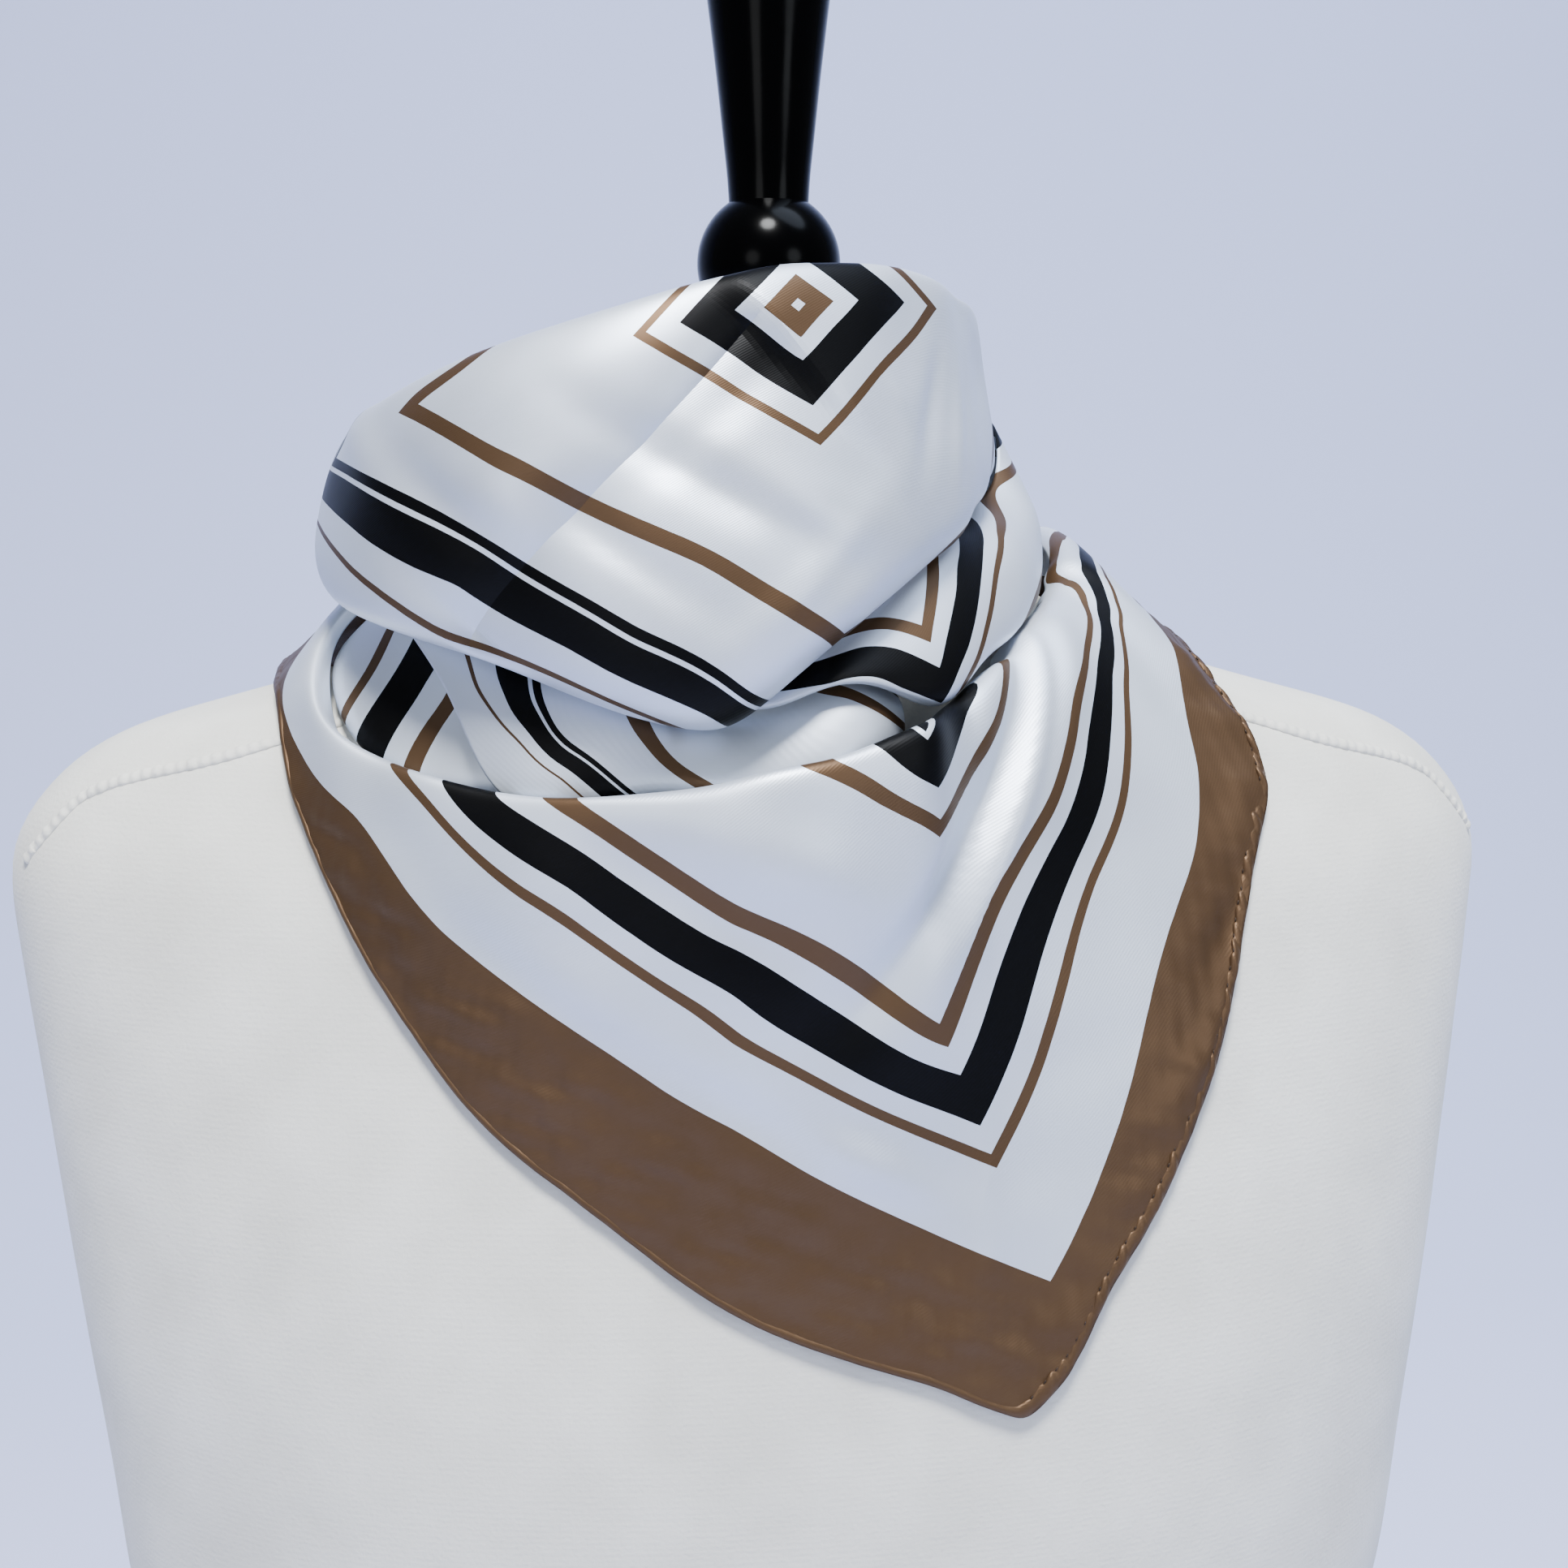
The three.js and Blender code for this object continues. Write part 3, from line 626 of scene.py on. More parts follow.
# the stretches that show under the upper fold
rightFold = {
    "stations": 240,
    "rows": 30,
    # azimuth, lean, top radius and height, outer radius and height, lower radius and height
    "sections": [
        [-15, 0, 76, 504.3, 86.5, 490.4, 89.5, 481.9], [-8, 0, 75, 505, 86.5, 490, 90.5, 480.5],
        [1, 0, 72, 509, 86.5, 493, 92, 485.5], [10, 0, 67, 516, 85, 496, 90, 484.5],
        [20, 0, 62, 523, 83.5, 500, 87, 480], [29, 0, 59, 525, 81.5, 502.5, 83.5, 488],
        [40, 0, 55.5, 524, 78.5, 506, 79, 493.5], [50, 0, 56.5, 524.5, 76.3, 511.5, 76, 498.5],
        [60, 0, 58.5, 527, 74, 516, 73, 503.5], [70, 0, 60.5, 533, 72.3, 521, 70.5, 511.5],
        [80, 0, 61, 542, 70, 524, 68.7, 513.5], [92, 0, 61, 548, 68.5, 527, 67, 514.5],
        [110, 0, 61.5, 549, 68, 529, 66.5, 514], [135, 0, 64.5, 547, 69.5, 528, 68, 511],
        [158, 0, 67.5, 543.5, 71.5, 526, 70, 510], [170, 0, 71.5, 538, 75.5, 526, 75, 513],
        [178, 0, 81, 531, 83, 524, 81, 516.5],
    ],
    "fromLeft": {
        81.1: [(17.7, 498.2), (11.1, 500.3), (6, 498.7), (2.6, 496.9)], 76.6: [(18.8, 493.4)],
        72: [(19.3, 487.8), (12.6, 493.1), (6.4, 493.7), (-1.4, 489.7)],
        63.3: [(11.9, 484.2), (7.6, 487.2), (3.3, 487.2), (-1.6, 485.5)],
    },
    "fromRight": {
        81.1: [(17.7, 498.2)], 76.6: [(18.8, 493.4), (19.2, 496.5), (22.3, 504), (26.6, 515.2)],
        72: [(19.3, 487.8), (27.2, 506.3), (31.5, 513.7), (40, 521.7)],
        63.3: [(23.1, 488.4), (25.6, 492.2), (29.1, 499.2), (33.7, 508.1), (39.5, 515.4), (46.7, 520.9),
            (56.5, 527.4)],
        47: [(59.5, 518.3)], 44: [(80, 525), (110, 530), (160, 527)],
        57: [(67.6, 531.3), (57.5, 524.4), (47.4, 519), (39.1, 509.8), (34.6, 502.5), (30.7, 496.2),
            (26.7, 488.4), (23.5, 483.6)],
    },
}
middleRoll = {
    "stations": 150,
    "rows": 34,
    "sections": [
        [-48, 11, 110.5, 497, 109.5, 480, 106.5, 458], [-38, 8, 95, 497, 105.5, 474, 102.5, 458.5],
        [-28, 5, 82, 494, 101, 469.5, 98, 460.5], [-18, 2, 74, 486.2, 97.3, 466.1, 96.5, 461],
        [-8, 0, 68, 486, 94.2, 467.5, 94.5, 462.5], [2, 0, 66, 491, 92.5, 473, 93, 467],
        [9, 0, 66, 489, 90, 474, 89.5, 469.5], [15, 0, 66, 484, 83, 475, 82.5, 472.5],
    ],
    "fromLeft": {
        217: [(-51.3, 493.1), (-47.5, 483.6), (-39.8, 472.5), (-34.2, 465.1)],
        224.5: [(-46.7, 491.5), (-43.2, 482.8), (-35.4, 469.1)],
        232.5: [(-42.9, 489.6), (-40.3, 481.1), (-34.5, 470.1)],
        235.5: [(-40.8, 488.8), (-39, 483), (-36, 475)],
        253: [(-28.5, 481.4), (-26.4, 474.7), (-22.8, 468.3)],
        257.5: [(-24.1, 478), (-22, 472.3), (-19.6, 467.8)], 276: [(-8, 474)], 283: [(0, 470)],
        294.5: [(-4, 485), (4.3, 482.3), (8.7, 478.8), (14.6, 473.9)], 301: [(10, 484), (15, 478)],
    },
    "fromRight": {
        332: [(-50, 490), (-20, 465)], 330: [(-20, 490), (10, 480)],
    },
}
innerFold = {
    "stations": 90,
    "rows": 24,
    "sections": [
        [-88, 0, 90, 505.5, 98, 500, 105, 493.5], [-80, 0, 94, 508, 103, 500, 110.5, 492.5],
        [-76, 0, 98, 508, 107, 499, 115.5, 488], [-70, 0, 101, 507, 110, 495, 119, 479],
        [-66, 0, 101, 506, 110.5, 491.5, 118.5, 472], [-58, 0, 96, 505, 105, 486, 113, 462],
        [-50, 0, 86, 503, 97, 482.5, 104, 458], [-42, 0, 77, 500, 89, 481, 96, 459],
        [-34, 0, 70, 498, 83, 480, 87, 461],
    ],
    "fromLeft": {
        56.5: [(-67.5, 496.6), (-66.1, 485.9)], 63.3: [(-62.3, 494.2), (-62.6, 484.9)],
        72: [(-58.7, 484.7), (-59.2, 476.1)], 76.6: [(-55.7, 479.3)], 81.1: [(-54.4, 475.7)],
    },
    "fromRight": {
        300: [(-80, 500), (-60, 500), (-60, 475), (-40, 480)],
    },
}


def stretchProfile(azimuth, lean, topR, topZ, outR, outZ, lowR, lowZ):
    return lean, [(topR, topZ), (outR, outZ), (lowR, lowZ), (lowR - 3, lowZ + 0.5)]


def buildStretch(name, node, settings):
    first, last = settings["sections"][0][0], settings["sections"][-1][0]
    points = loft(settings, np.linspace(first, last, settings["stations"] + 1), stretchProfile)
    piece = clothPiece(name, node, points, clothOnSheet(points, settings))


buildStretch("cowl_right_fold", "scarf_right_fold", rightFold)
buildStretch("cowl_middle_roll", "scarf_middle_roll", middleRoll)
buildStretch("cowl_inner_fold", "scarf_inner_fold", innerFold)
print("stage: lower folds")

# front drape: a collar round the shoulders whose front hangs as one corner of the square
frontDrape = {
    "stationsFront": 380,
    "stationsBack": 110,
    "rows": 76,
    "frontReach": 96,
    "crestRows": 20,  # the crest lies in these rows
    "crestSmoothing": 9,  # stations to each side
    "lipStart": 62,
    "levelFrom": (94, 126),
    "border": (24, 40),  # the brown border's own slack fades out here
    "crease": {"start": (18.3, 349.3), "end": (21.5, 372), "fade": 7, "depth": -0.5},
    "slack": [(0.3, 26, 34, 9)],
    "borderSlack": [(0.45, 7, 12, 12), (0.25, 2.6, 5, 15)],
    "dents": [
        [27, 462, 46, 5.5, 52, -4.6], [31, 458, 38, 2.4, 54, 1.6], [21, 452, 30, 2.2, 54, 1.3],
        [15, 438, 30, 4.5, 52, -2.8], [4, 418, 26, 8, 44, -1.8], [-6, 448, 30, 9, -26, 2],
        [-16, 437, 34, 8, -30, -1.8], [45, 480, 30, 5, 50, 1.4], [57, 428, 26, 3.6, 62, -1.6],
        [61, 446, 14, 3.2, 70, 1.2], [50, 398, 24, 4, 60, 1.2], [-20, 402, 36, 9, -36, 1.6],
        [-33, 413, 30, 6, -40, -1.4], [-52, 440, 22, 6, -50, 1.2], [-12, 390, 24, 6, -32, -2.2],
        [5, 375, 20, 5, -28, 1.5], [18, 340, 12, 5, 70, 1],
    ],
    # azimuth, fold, top radius and height, middle radius and height, hem radius and height
    "sections": [
        [-180, 2, 77, 516, 81, 489, 83.5, 460.5], [-150, 2, 78, 511.5, 87, 487, 93, 459.5],
        [-135, 2, 81, 511, 94, 489, 105, 464], [-120, 2, 86, 510, 105, 492, 121, 473],
        [-100, 1.5, 95, 507, 116, 494, 130, 483.5], [-88, 1, 102, 504.5, 118.5, 494.5, 130, 483.5],
        [-80, 1, 112, 499, 123.5, 490.5, 131.5, 481], [-73, 2, 122, 489.5, 129, 483.5, 133, 476],
        [-67, 5, 127.5, 479.5, 131.5, 471, 134.8, 461], [-61, 7, 126.5, 471.5, 130.5, 458, 132.8, 441],
        [-56, 8, 122, 467, 128, 447, 130.5, 425], [-50, 8, 119, 464.5, 125, 437, 125.7, 406],
        [-42, 8, 114, 461.5, 120, 426, 119.7, 385], [-32, 7, 110, 460.5, 115, 418, 113.2, 368.5],
        [-24, 7, 107, 460.5, 111, 412, 110, 356.5], [-16, 7, 105.5, 461.8, 109.5, 408, 108.2, 345.5],
        [-8, 6, 105, 465.5, 108.5, 405, 107.1, 336.8], [0, 6, 103, 468.2, 107.5, 402, 107.3, 330.6],
        [8, 5, 99.5, 472, 106, 401, 109, 325], [14, 4, 96, 474.5, 105, 400, 111.4, 320.6],
        [18, 2, 88, 474.8, 104.5, 399, 113.6, 316.6], [21.5, 1.5, 83, 475.6, 104.5, 400, 115.8, 313.4],
        [23.4, 1.5, 81.5, 476.5, 104.5, 401, 116.9, 312.4],
        [26.2, 1.5, 80.5, 478.8, 104.7, 404, 118.4, 316], [29, 1.5, 79.5, 480.9, 105, 408, 119.9, 322],
        [34, 1.2, 77.5, 484.7, 106, 418, 121.7, 338.6], [40, 1.5, 75, 488.4, 107.5, 430, 124.7, 354.5],
        [46, 0.8, 74, 491.4, 108.5, 444, 128.1, 375], [50, 0.3, 73.8, 493.6, 109, 453, 130, 390.5],
        [54, 0.2, 74, 495.7, 109.5, 462, 131.2, 409], [58, 0.2, 74, 498, 109.5, 471, 132.1, 428.5],
        [62, 0.2, 74, 499.8, 109, 479, 132.8, 444], [65.5, 0.3, 74.5, 502.5, 108.5, 486, 132.8, 457],
        [67.3, 0.5, 75.3, 504.3, 106.5, 490.5, 128.8, 467], [69.5, 1.5, 75.7, 508, 102.5, 496, 123, 474.5],
        [73, 1.5, 76.7, 511.5, 97, 501.5, 117, 482.5], [77, 1.5, 76.6, 514, 93.5, 504.5, 113, 487],
        [82, 1.5, 76, 515.8, 92, 505.5, 111, 489.5], [90, 1.5, 75.5, 517.5, 92, 506, 110.5, 490],
        [100, 1.5, 75.5, 518, 93.5, 505, 113, 488], [115, 1.5, 76.5, 518.5, 96, 500, 115.5, 481.5],
        [135, 2, 77, 518, 90, 494, 101, 470], [160, 2, 77, 517, 83.5, 489, 87, 461],
        [180, 2, 77, 516, 81, 489, 83.5, 460.5],
    ],
    "fromLeft": {
        35: [(28.2, 342.7), (-12.3, 385), (-45.8, 429), (-57.5, 455.2), (-72.8, 478.3)],
        55.5: [(22.4, 370.9), (-12.2, 405.3), (-36.3, 437.8), (-56.2, 467.5)],
        63.3: [(20.3, 381.6), (-12.2, 417.7), (-30.7, 441.2), (-47.1, 463.6)],
        72: [(17.7, 394.2), (-12.1, 428.1), (-26.1, 444.3), (-41.4, 461.6)],
        76.6: [(15.6, 400.6), (-12.1, 431.9), (-35.2, 460.7)], 81.1: [(14.4, 407)],
        101: [(13.8, 450.8), (5.3, 459.2), (-2.7, 467.2)], 109: [(13.9, 462.9), (6.6, 472.1)],
        117: [(12.1, 472.1)],
    },
    "fromRight": {
        35: [(28.2, 342.7), (45.4, 411.3), (54.5, 440.8), (59.3, 460.8), (63.4, 477.9), (66, 485.3),
            (68.5, 490.5), (70.2, 495.5)],
        55.5: [(22.4, 370.9)],
        56.6: [(29.2, 393.1), (34.5, 415.6), (40, 436.1), (47.8, 454.9), (52.1, 469)],
        57: [(57.1, 484), (60.4, 490.6), (63, 495.8), (66.2, 501), (68.6, 504.8), (70.2, 508.3)],
        63.3: [(20.3, 381.6), (24.6, 394.1), (31.2, 420.5), (37.4, 439.2), (45.7, 459.4), (54.5, 484.3),
            (58.8, 491.5), (62.3, 497), (65.7, 502.2), (69.2, 507.2)],
        72: [(17.7, 394.2), (26.3, 424.8), (34.7, 445.6), (44.7, 469.9), (51.8, 484.5), (54.9, 489.5),
            (59.4, 495.3), (62.7, 499.7), (66, 504.2)],
        76.6: [(15.8, 399.6), (20.5, 416.7), (26.5, 435.1), (35.5, 452.2), (43.5, 470)],
        78.8: [(50.4, 486.1), (55, 492.6), (60, 498.3), (63.8, 502.7), (67.4, 507.2), (69.8, 510.8),
            (73, 514), (79.4, 516.4)],
        79: [(88, 517.2), (96, 518)], 42: [(84, 506)], 40: [(94, 504)],
        101: [(13.8, 450.7), (20.4, 460.4), (25.3, 467.1), (29.9, 475.1), (33.1, 483), (39.3, 492.5)],
        109: [(13.9, 462.9), (22.6, 477.3)], 117: [(12.1, 472.1), (15.7, 477.8)],
    },
}


def drapeAzimuths():
    reach = frontDrape["frontReach"]
    front = np.linspace(-reach, reach, frontDrape["stationsFront"] + 1)
    back = np.linspace(reach, 360 - reach, frontDrape["stationsBack"] + 1)[1:]
    return np.concatenate([front, back])


def drapeProfile(azimuth, fold, topR, topZ, midR, midZ, hemR, hemZ):
    return 0, [(topR - fold, topZ - 1.4 * fold), (topR, topZ), (midR, midZ), (hemR, hemZ)]


def overTheCrest(points, cloth, fromHem):
    # past the crest the turned-in lip carries on the print that the crest has
    around = frontDrape["crestSmoothing"]
    crest = points[:, :frontDrape["crestRows"], 2].argmax(axis=1).astype(float)
    window = np.ones(2 * around + 1) / (2 * around + 1)
    crest = np.convolve(np.pad(crest, around, mode="wrap"), window, "valid")[:, None]
    before = np.floor(crest).astype(int)

    def atCrest(values):
        low, high = (np.take_along_axis(values, before + k, 1) for k in (0, 1))
        return low + (high - low) * (crest - before)

    lip = (np.arange(points.shape[1])[None] < crest) & (azimuthOf(points) > frontDrape["lipStart"])
    beyond = fromHem - atCrest(fromHem)
    return [np.where(lip, atCrest(side) + beyond, side) for side in cloth]


def buildDrape():
    points = loft(frontDrape, drapeAzimuths(), drapeProfile, True)
    steps = np.linalg.norm(np.diff(points, axis=1), axis=2)
    fromHem = np.pad(np.cumsum(steps[:, ::-1], axis=1)[:, ::-1], [(0, 0), (0, 1)])
    cloth = roundTheBack(points, clothOnSheet(points, frontDrape), fromHem, *frontDrape["levelFrom"])
    cloth = overTheCrest(points, cloth, fromHem)
    border = 1 - smoothStep(*frontDrape["border"], np.minimum(*cloth))
    slack = dentRelief(points, frontDrape["dents"]) + waveRelief(points, frontDrape["slack"])
    slack += border * waveRelief(points, frontDrape["borderSlack"])
    slack *= 1 - 0.6 * smoothStep(0.93, 1, np.linspace(0, 1, frontDrape["rows"] + 1)[None])
    points = raised(points, slack)
    piece = clothPiece("shoulder_drape", "scarf_front_drape", points, cloth, True,
                       frontDrape["crease"], satinDrape)
    return piece, points


drapePiece, drapeGrid = buildDrape()

# the hem is turned to the front right of the corner, and to the back left of it
hem = {
    "stations": 1700,
    "around": 14,
    "turnedHalfWidth": 2.6,
    "turnedHalfThickness": 0.85,
    "plainHalfWidth": 1.1,
    "plainHalfThickness": 0.65,
    "stitchPitch": 4.3,
    "stitchLength": 1.3,
    "threadRadius": 0.22,
    "threadRise": 0.45,
    "turned": (21, 26, 150, 172),  # the azimuths over which the turned hem starts and ends
    "stitchPinch": 0.35,
}


def alongEdge(values, run, along):
    return np.stack([np.interp(along, run, values[:, c]) for c in range(3)], axis=1)


def sweepEdge(name, middle, out, halfWidth, halfThickness, around, along, drop=None, closed=False,
              material=brownSatin):
    # a flattened tube along an edge, with its UV map along and round it
    if drop is None:
        drop = np.cross(unit(np.gradient(middle, axis=0)), out)
    turn = np.linspace(0, math.tau, around + 1)
    flat = np.reshape(halfWidth, (-1, 1)) * np.cos(turn)
    proud = np.reshape(halfThickness, (-1, 1)) * np.sin(turn)
    rings = middle[:, None] + drop[:, None] * flat[..., None] + out[:, None] * proud[..., None]
    if closed:
        rings[-1] = rings[0]
    rings[:, -1] = rings[:, 0]
    cloth = np.broadcast_arrays(along[:, None], turn[None] * 2)
    return dress(closedPiece(gridMesh(rings, closed, True, cloth), name), material)


def addStitches(name, places, directions, outs):
    size = [hem["stitchLength"] / 2, hem["threadRadius"], hem["threadRadius"]]
    bm = bmesh.new()
    for place, direction, out in zip(places, directions, outs):
        axes = np.array([direction, np.cross(direction, out), out])
        for vert in bmesh.ops.create_icosphere(bm, subdivisions=1, radius=1)["verts"]:
            vert.co = Vector((place + (np.array(vert.co) * size) @ axes) * mm)
    return dress(closedPiece(bm, name), threadAndHoleShade)


def buildHem():
    edge = drapeGrid[:, -1]
    normals = gridNormals(drapeGrid, True)[:, -1]
    down = unit(edge - drapeGrid[:, -2])
    run = runAlong(edge)
    along = np.linspace(0, run[-1], hem["stations"] + 1)
    centre, out, drop = (alongEdge(values, run, along) for values in (edge, normals, down))
    turned = between(*hem["turned"], azimuthOf(centre))
    stitch = 0.5 + 0.5 * np.cos(along / hem["stitchPitch"] * math.tau)
    slack = waves(along / 16, along * 0, 21)
    width = hem["plainHalfWidth"] + turned * (hem["turnedHalfWidth"] - hem["plainHalfWidth"])
    width = width * (1 + 0.08 * slack) - hem["stitchPinch"] * turned * stitch
    thick = hem["plainHalfThickness"] + turned * (hem["turnedHalfThickness"] - hem["plainHalfThickness"])
    thick = thick * (1 + 0.18 * slack) - 0.2 * turned * stitch ** 3
    ripple = turned * (0.5 * slack + 0.25 * np.sin(along / hem["stitchPitch"] * math.pi))
    middle = centre - drop * width[:, None] + out * ripple[:, None] * 0.6
    piece = sweepEdge("drape_hem", middle, out, width, thick, hem["around"], along, drop, True)
    spots = np.arange(int(run[-1] / hem["stitchPitch"])) * hem["stitchPitch"]
    spots = spots[np.interp(spots, along, turned) > 0.6]
    start = alongEdge(middle, along, spots)
    ahead = unit(alongEdge(middle, along, spots + 1) - start)
    places = start - alongEdge(drop, along, spots) * np.interp(spots, along, width)[:, None]
    outs = alongEdge(out, along, spots)
    return piece, addStitches("hem_stitches", places + outs * hem["threadRise"], ahead, outs)


hemPiece, stitchPiece = buildHem()
print("stage: drape and hem")

# dress form: the body
formBody = {
    "around": 200,
    "rings": 150,
    # height, half width, depth in front, depth behind, roundness
    "sections": [
        [0, 162, 99, 108, 2.2], [45, 155, 98, 104, 2.2], [95, 142, 93, 94, 2.2], [140, 142, 92, 90, 2.2],
        [185, 158, 99, 93, 2.2], [225, 173, 108, 98, 2.2], [270, 179.5, 110, 102, 2.2],
        [315, 185.5, 107, 106, 2.2], [355, 190.5, 100, 108, 2.2], [390, 195, 91, 106, 2.2],
        [418, 198.5, 82, 100, 2.2], [438, 198.5, 74, 92, 2.2], [452, 191, 67, 84, 2.2],
        [464, 177, 62, 76, 2.2], [474, 150, 58, 69, 2.2], [482, 121, 55, 64, 2.2], [491, 95, 53, 59, 2.15],
        [501, 74, 51.5, 55.5, 2.1], [512, 60, 50, 52.5, 2.05], [526, 52, 48.5, 50, 2],
        [545, 48.5, 47.5, 48.5, 2], [566, 47, 46.5, 47.5, 2],
    ],
}


def formPoints():
    rows = formBody["sections"]
    run = runAlong(np.array(rows, float)[:, :2])
    at = columns([[distance, *row] for distance, row in zip(run, rows)])
    turn = np.linspace(0, math.tau, formBody["around"] + 1)
    side, face = np.sin(turn), -np.cos(turn)
    rings = []
    for distance in np.linspace(0, run[-1], formBody["rings"] + 1):
        height, half, front, back, roundness = at(distance)
        depth = np.where(face < 0, front, back)
        power = (np.abs(side) / half) ** roundness + (np.abs(face) / depth) ** roundness
        radius = power ** (-1 / roundness)
        rings.append(np.stack([radius * side, radius * face, np.full_like(radius, height)], axis=1))
    return np.array(rings).transpose(1, 0, 2)


formPiece = dress(closedPiece(gridMesh(formPoints(), True), "form_body"), jersey, "dress_form_body")

shoulderSeam = {
    "stations": 300,
    "around": 12,
    "halfWidth": 1.7,
    "halfThickness": 0.95,
    "pucker": 3.2,
    # x, y, height of the right seam; the left one is its mirror image
    "places": [
        [112, -42, 473.5], [116.6, -42, 472], [135.1, -40.4, 466.3], [152.8, -36, 461.6],
        [172.8, -27.5, 455.1], [182.2, -25.4, 447.9], [190, -21, 437],
    ],
}


def buildSeam(name, side):
    tree = BVHTree.FromPolygons([vert.co for vert in formPiece.data.vertices],
                                [face.vertices for face in formPiece.data.polygons])
    places = shoulderSeam["places"]
    at = columns([[k, *place] for k, place in enumerate(places)])
    middle, out = [], []
    for key in np.linspace(0, len(places) - 1, shoulderSeam["stations"]):
        x, y, z = at(key)
        place, normal = tree.find_nearest(Vector((x * side, y, z)) * mm)[:2]
        middle.append(np.array(place) / mm)
        out.append(np.array(normal))
    middle, out = np.array(middle), np.array(out)
    along = runAlong(middle)
    pucker = 1 + 0.22 * np.cos(along / shoulderSeam["pucker"] * math.tau) + 0.2 * waves(along / 9, along * 0, 31)
    sweepEdge(name, middle, out, shoulderSeam["halfWidth"] * (0.8 + 0.2 * pucker),
              shoulderSeam["halfThickness"] * pucker, shoulderSeam["around"], along,
              material=jersey)


buildSeam("shoulder_seam_right", 1)
buildSeam("shoulder_seam_left", -1)

# the turned neck
finial = {
    "around": 96,
    "footHeight": 571.6,
    "ballRadius": 19,
    "ballHeight": 589,
    "ballSteps": 44,
    "spindleSteps": 90,
    "topHeight": 702,
    "topRadius": 3.4,
    # height and radius up the spindle
    "spindle": [
        [604.9, 10.55], [609, 10.8], [621, 12], [636, 13.6], [651, 15.4], [665, 17], [677, 17.6],
        [687, 16.4], [695, 12.8], [700.2, 7.2],
    ],
}
neckCap = {"around": 96, "radius": 45, "bottom": 566.3, "top": 571.3, "edge": 1.4, "chamfer": 0.6}


def turnedPiece(name, node, profile, around):
    # spins a radius and height profile about the neck's axis
    bm = bmesh.new()
    verts = [bm.verts.new((radius * mm, 0, height * mm)) for radius, height in profile]
    edges = [bm.edges.new(pair) for pair in zip(verts, verts[1:])]
    bmesh.ops.spin(bm, geom=verts + edges, cent=(0, 0, 0), axis=(0, 0, 1), dvec=(0, 0, 0),
                   angle=math.tau, steps=around, use_merge=True)
    bmesh.ops.remove_doubles(bm, verts=bm.verts, dist=1e-6)
    piece = closedPiece(bm, name)
    piece.data.set_sharp_from_angle(angle=math.radians(35))
    dress(piece, lacquer, node)


def buildFinial():
    ball, middle = finial["ballRadius"], finial["ballHeight"]
    low = math.asin((finial["footHeight"] - middle) / ball)
    high = math.acos(finial["spindle"][0][1] / ball)
    profile = [(0, finial["footHeight"])]
    for turn in np.linspace(low, high, finial["ballSteps"]):
        profile.append((ball * math.cos(turn), middle + ball * math.sin(turn)))
    at = columns(finial["spindle"])
    first, last = finial["spindle"][0][0] + 1.2, finial["spindle"][-1][0]
    for height in np.linspace(first, last, finial["spindleSteps"]):
        profile.append((at(height)[0], height))
    profile += [(finial["topRadius"], finial["topHeight"] - 0.45), (0, finial["topHeight"])]
    turnedPiece("turned_finial", "neck_finial", profile, finial["around"])


def buildNeckCap():
    radius, low, high, edge, chamfer = (neckCap[part] for part in ("radius", "bottom", "top", "edge", "chamfer"))
    rim = [(radius - edge + edge * math.cos(turn), high - edge + edge * math.sin(turn))
           for turn in np.linspace(0, math.pi / 2, 7)]
    profile = [(0, low), (radius - chamfer, low), (radius, low + chamfer)] + rim + [(0, high)]
    turnedPiece("turned_neck_cap", "neck_cap", profile, neckCap["around"])


buildFinial()
buildNeckCap()
print("stage: form")

# knot and tails at the nape
knot = {
    "centre": (0, 87.7, 522),
    "half": (17, 9, 13),
    "groove": 0.16,
    "pleats": 8,
    "pleatDepth": 0.09,
    "rings": 90,
    "around": 140,
}
tails = {
    "along": 90,
    "across": 44,
    "length": 88,
    # share of the length, centre's distance from the middle, half width, distance behind the axis, height
    "sections": [
        [0, 6.5, 4.5, 87.8, 509.7], [0.3, 13, 12, 91.5, 487], [0.6, 20, 17, 95, 463],
        [0.8, 24, 11, 99, 446], [1, 27.5, 1.5, 103, 430],
    ],
    "hemStart": 0.5,
    "hemHalfWidth": 1.4,
    "hemHalfThickness": 0.8,
    "hemAround": 10,
}


def buildKnot():
    lift = np.linspace(0.02, math.pi - 0.02, knot["rings"] + 1)[:, None]
    turn = np.linspace(0, math.tau, knot["around"] + 1)[None]
    waist = 1 - knot["groove"] * np.exp(-(np.cos(lift) / 0.22) ** 2)
    pleat = knot["pleatDepth"] * np.sin(knot["pleats"] * turn + 1.6 * np.cos(lift)) * np.sin(lift) ** 0.5
    swell = waist * (1 + pleat - knot["pleatDepth"])
    x = -knot["half"][0] * np.cos(lift) + 0 * turn
    y = knot["half"][1] * swell * np.sin(lift) * np.cos(turn)
    z = knot["half"][2] * swell * np.sin(lift) * np.sin(turn)
    points = np.stack([x, y, z], axis=-1) + np.array(knot["centre"])
    points[:, -1] = points[:, 0]
    cloth = (17 + 9 * np.cos(lift) + 2 * np.sin(turn), 12 + 6 * np.cos(lift) + 3 * np.cos(turn))
    piece = closedPiece(gridMesh(points, False, True, cloth), "nape_knot")
    dress(piece, satin, "scarf_knot")


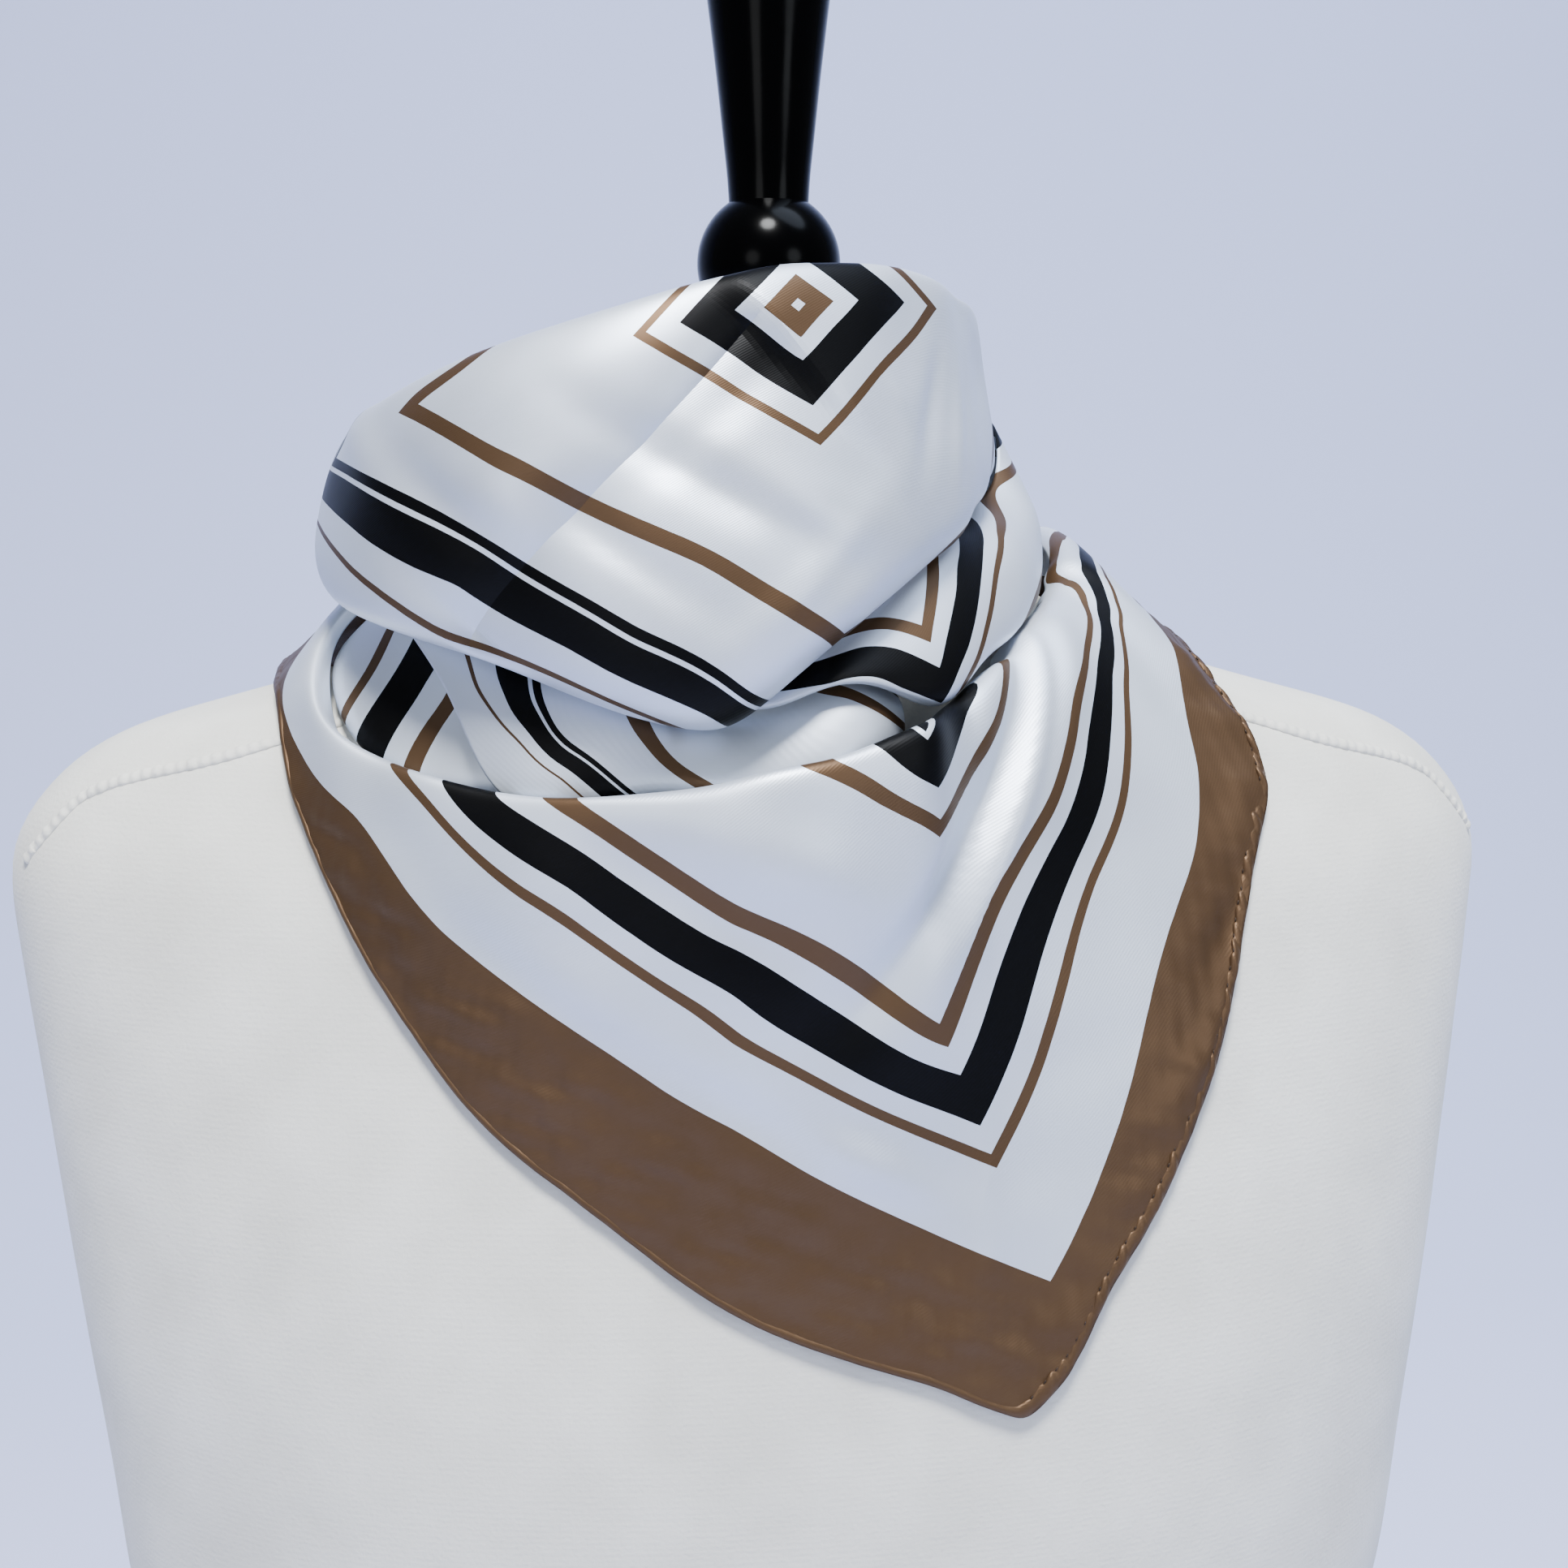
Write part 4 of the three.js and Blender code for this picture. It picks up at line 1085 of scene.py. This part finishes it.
def buildTail(name, side, node):
    at = columns(tails["sections"])
    across = np.linspace(-1, 1, tails["across"] + 1)
    shares = np.linspace(0, 1, tails["along"] + 1)
    rings, halves = [], []
    for share in shares:
        middle, half, depth, height = at(share)
        curl = 1.5 * (1 - across ** 2) + 0.9 * np.sin(across * 5 + share * 2) * (1 - share)
        rings.append(np.stack([side * middle - across * half, depth + curl, np.full_like(across, height)], axis=1))
        halves.append(half)
    points = np.array(rings).transpose(1, 0, 2)
    corner, spread = (1 - shares) * tails["length"], across[:, None] * halves
    cloth = [(corner + spread) / math.sqrt(2) + 1.5, (corner - spread) / math.sqrt(2) + 1.5]
    piece = clothPiece(name, node, points, cloth)
    low = int(tails["along"] * tails["hemStart"])
    edge, out = (np.concatenate([grid[0, low:], grid[1:-1, -1], grid[-1, low:][::-1]])
                 for grid in (points, gridNormals(points, False)))
    border = sweepEdge(name + "_hem", edge, out, tails["hemHalfWidth"], tails["hemHalfThickness"],
                       tails["hemAround"], runAlong(edge))


buildKnot()
buildTail("tail_left", -1, "scarf_tail_left")
buildTail("tail_right", 1, "scarf_tail_right")
print("stage: knot and tails")

# setting
camera = {
    "azimuth": -8.0,
    "elevation": 8.0,
    "distance": 0.590,
    "aim": (0.004, -0.0006, 0.450),
    "fieldOfView": 40.0,
}
setting = {
    "coveStart": 0.7,
    "coveRadius": 1.3,
    "wallTop": 5.0,
    "floorFront": -5.0,
    "halfWidth": 6,
    "paper": (0.675, 0.725, 1.0),
    "world": (0.80, 0.87, 1.0),
    "worldStrength": 0.33,
}
# place, aim, size, power and colour
lights = {
    "softboxLeft": [(-0.75, -1.15, 0.72), (0, 0, 0.47), 0.5, 3, (0.96, 0.98, 1.0)],
    "softboxRight": [(0.75, -1.15, 0.78), (0, 0, 0.47), 0.5, 4, (0.88, 0.94, 1.0)],
    "top": [(-0.12, -0.72, 1.85), (0, 0, 0.45), 0.45, 66, (0.97, 0.985, 1.0)],
    "paperLight": [(0.9, -0.2, 2.6), (0.8, 1.9, 0.8), 1.6, 61, (0.68, 0.80, 1.0)],
}


def addCamera():
    azimuth, elevation = camera["azimuth"], math.radians(camera["elevation"])
    back = Vector(onAzimuth(azimuth, math.cos(elevation), math.sin(elevation)))
    data = bpy.data.cameras.new("camera")
    data.angle = math.radians(camera["fieldOfView"])
    data.clip_start = 0.01
    view = bpy.data.objects.new("camera", data)
    view.location = Vector(camera["aim"]) + back * camera["distance"]
    view.rotation_euler = (math.pi / 2 - elevation, 0, math.radians(azimuth))
    bpy.context.scene.collection.objects.link(view)
    bpy.context.scene.camera = view


def addPaper():
    # one sheet of paper: a floor that curves up into the backdrop
    bm = bmesh.new()
    bmesh.ops.create_grid(bm, x_segments=4, y_segments=60, size=1)
    start, radius = setting["coveStart"], setting["coveRadius"]
    floorEnd, coveEnd = 0.2, 0.8  # shares of the sheet
    for vert in bm.verts:
        share = (vert.co.y + 1) / 2
        turn = np.interp(share, [floorEnd, coveEnd], [0, math.pi / 2])
        before = np.interp(share, [0, floorEnd], [start - setting["floorFront"], 0])
        above = np.interp(share, [coveEnd, 1], [0, setting["wallTop"] - radius])
        y, z = start - before + radius * math.sin(turn), above + radius * (1 - math.cos(turn))
        vert.co = Vector((vert.co.x * setting["halfWidth"], y, z))
    floor = finishMesh(bm, "floor")
    floor.data.materials.append(plainMaterial("palePaper", setting["paper"], 0.9)[0])


def addLights():
    world = bpy.data.worlds.new("studio")
    world.use_nodes = True
    background = world.node_tree.nodes["Background"].inputs
    background["Color"].default_value = (*setting["world"], 1)
    background["Strength"].default_value = setting["worldStrength"]
    bpy.context.scene.world = world
    for name, (place, aim, size, power, color) in lights.items():
        data = bpy.data.lights.new(name, "AREA")
        data.shape = "DISK"
        data.size = size
        data.energy = power
        data.color = color
        light = bpy.data.objects.new(name, data)
        light.location = place
        light.rotation_euler = (Vector(aim) - Vector(place)).to_track_quat("-Z", "Y").to_euler()
        bpy.context.scene.collection.objects.link(light)


addCamera()
addPaper()
addLights()
print("stage: setting")
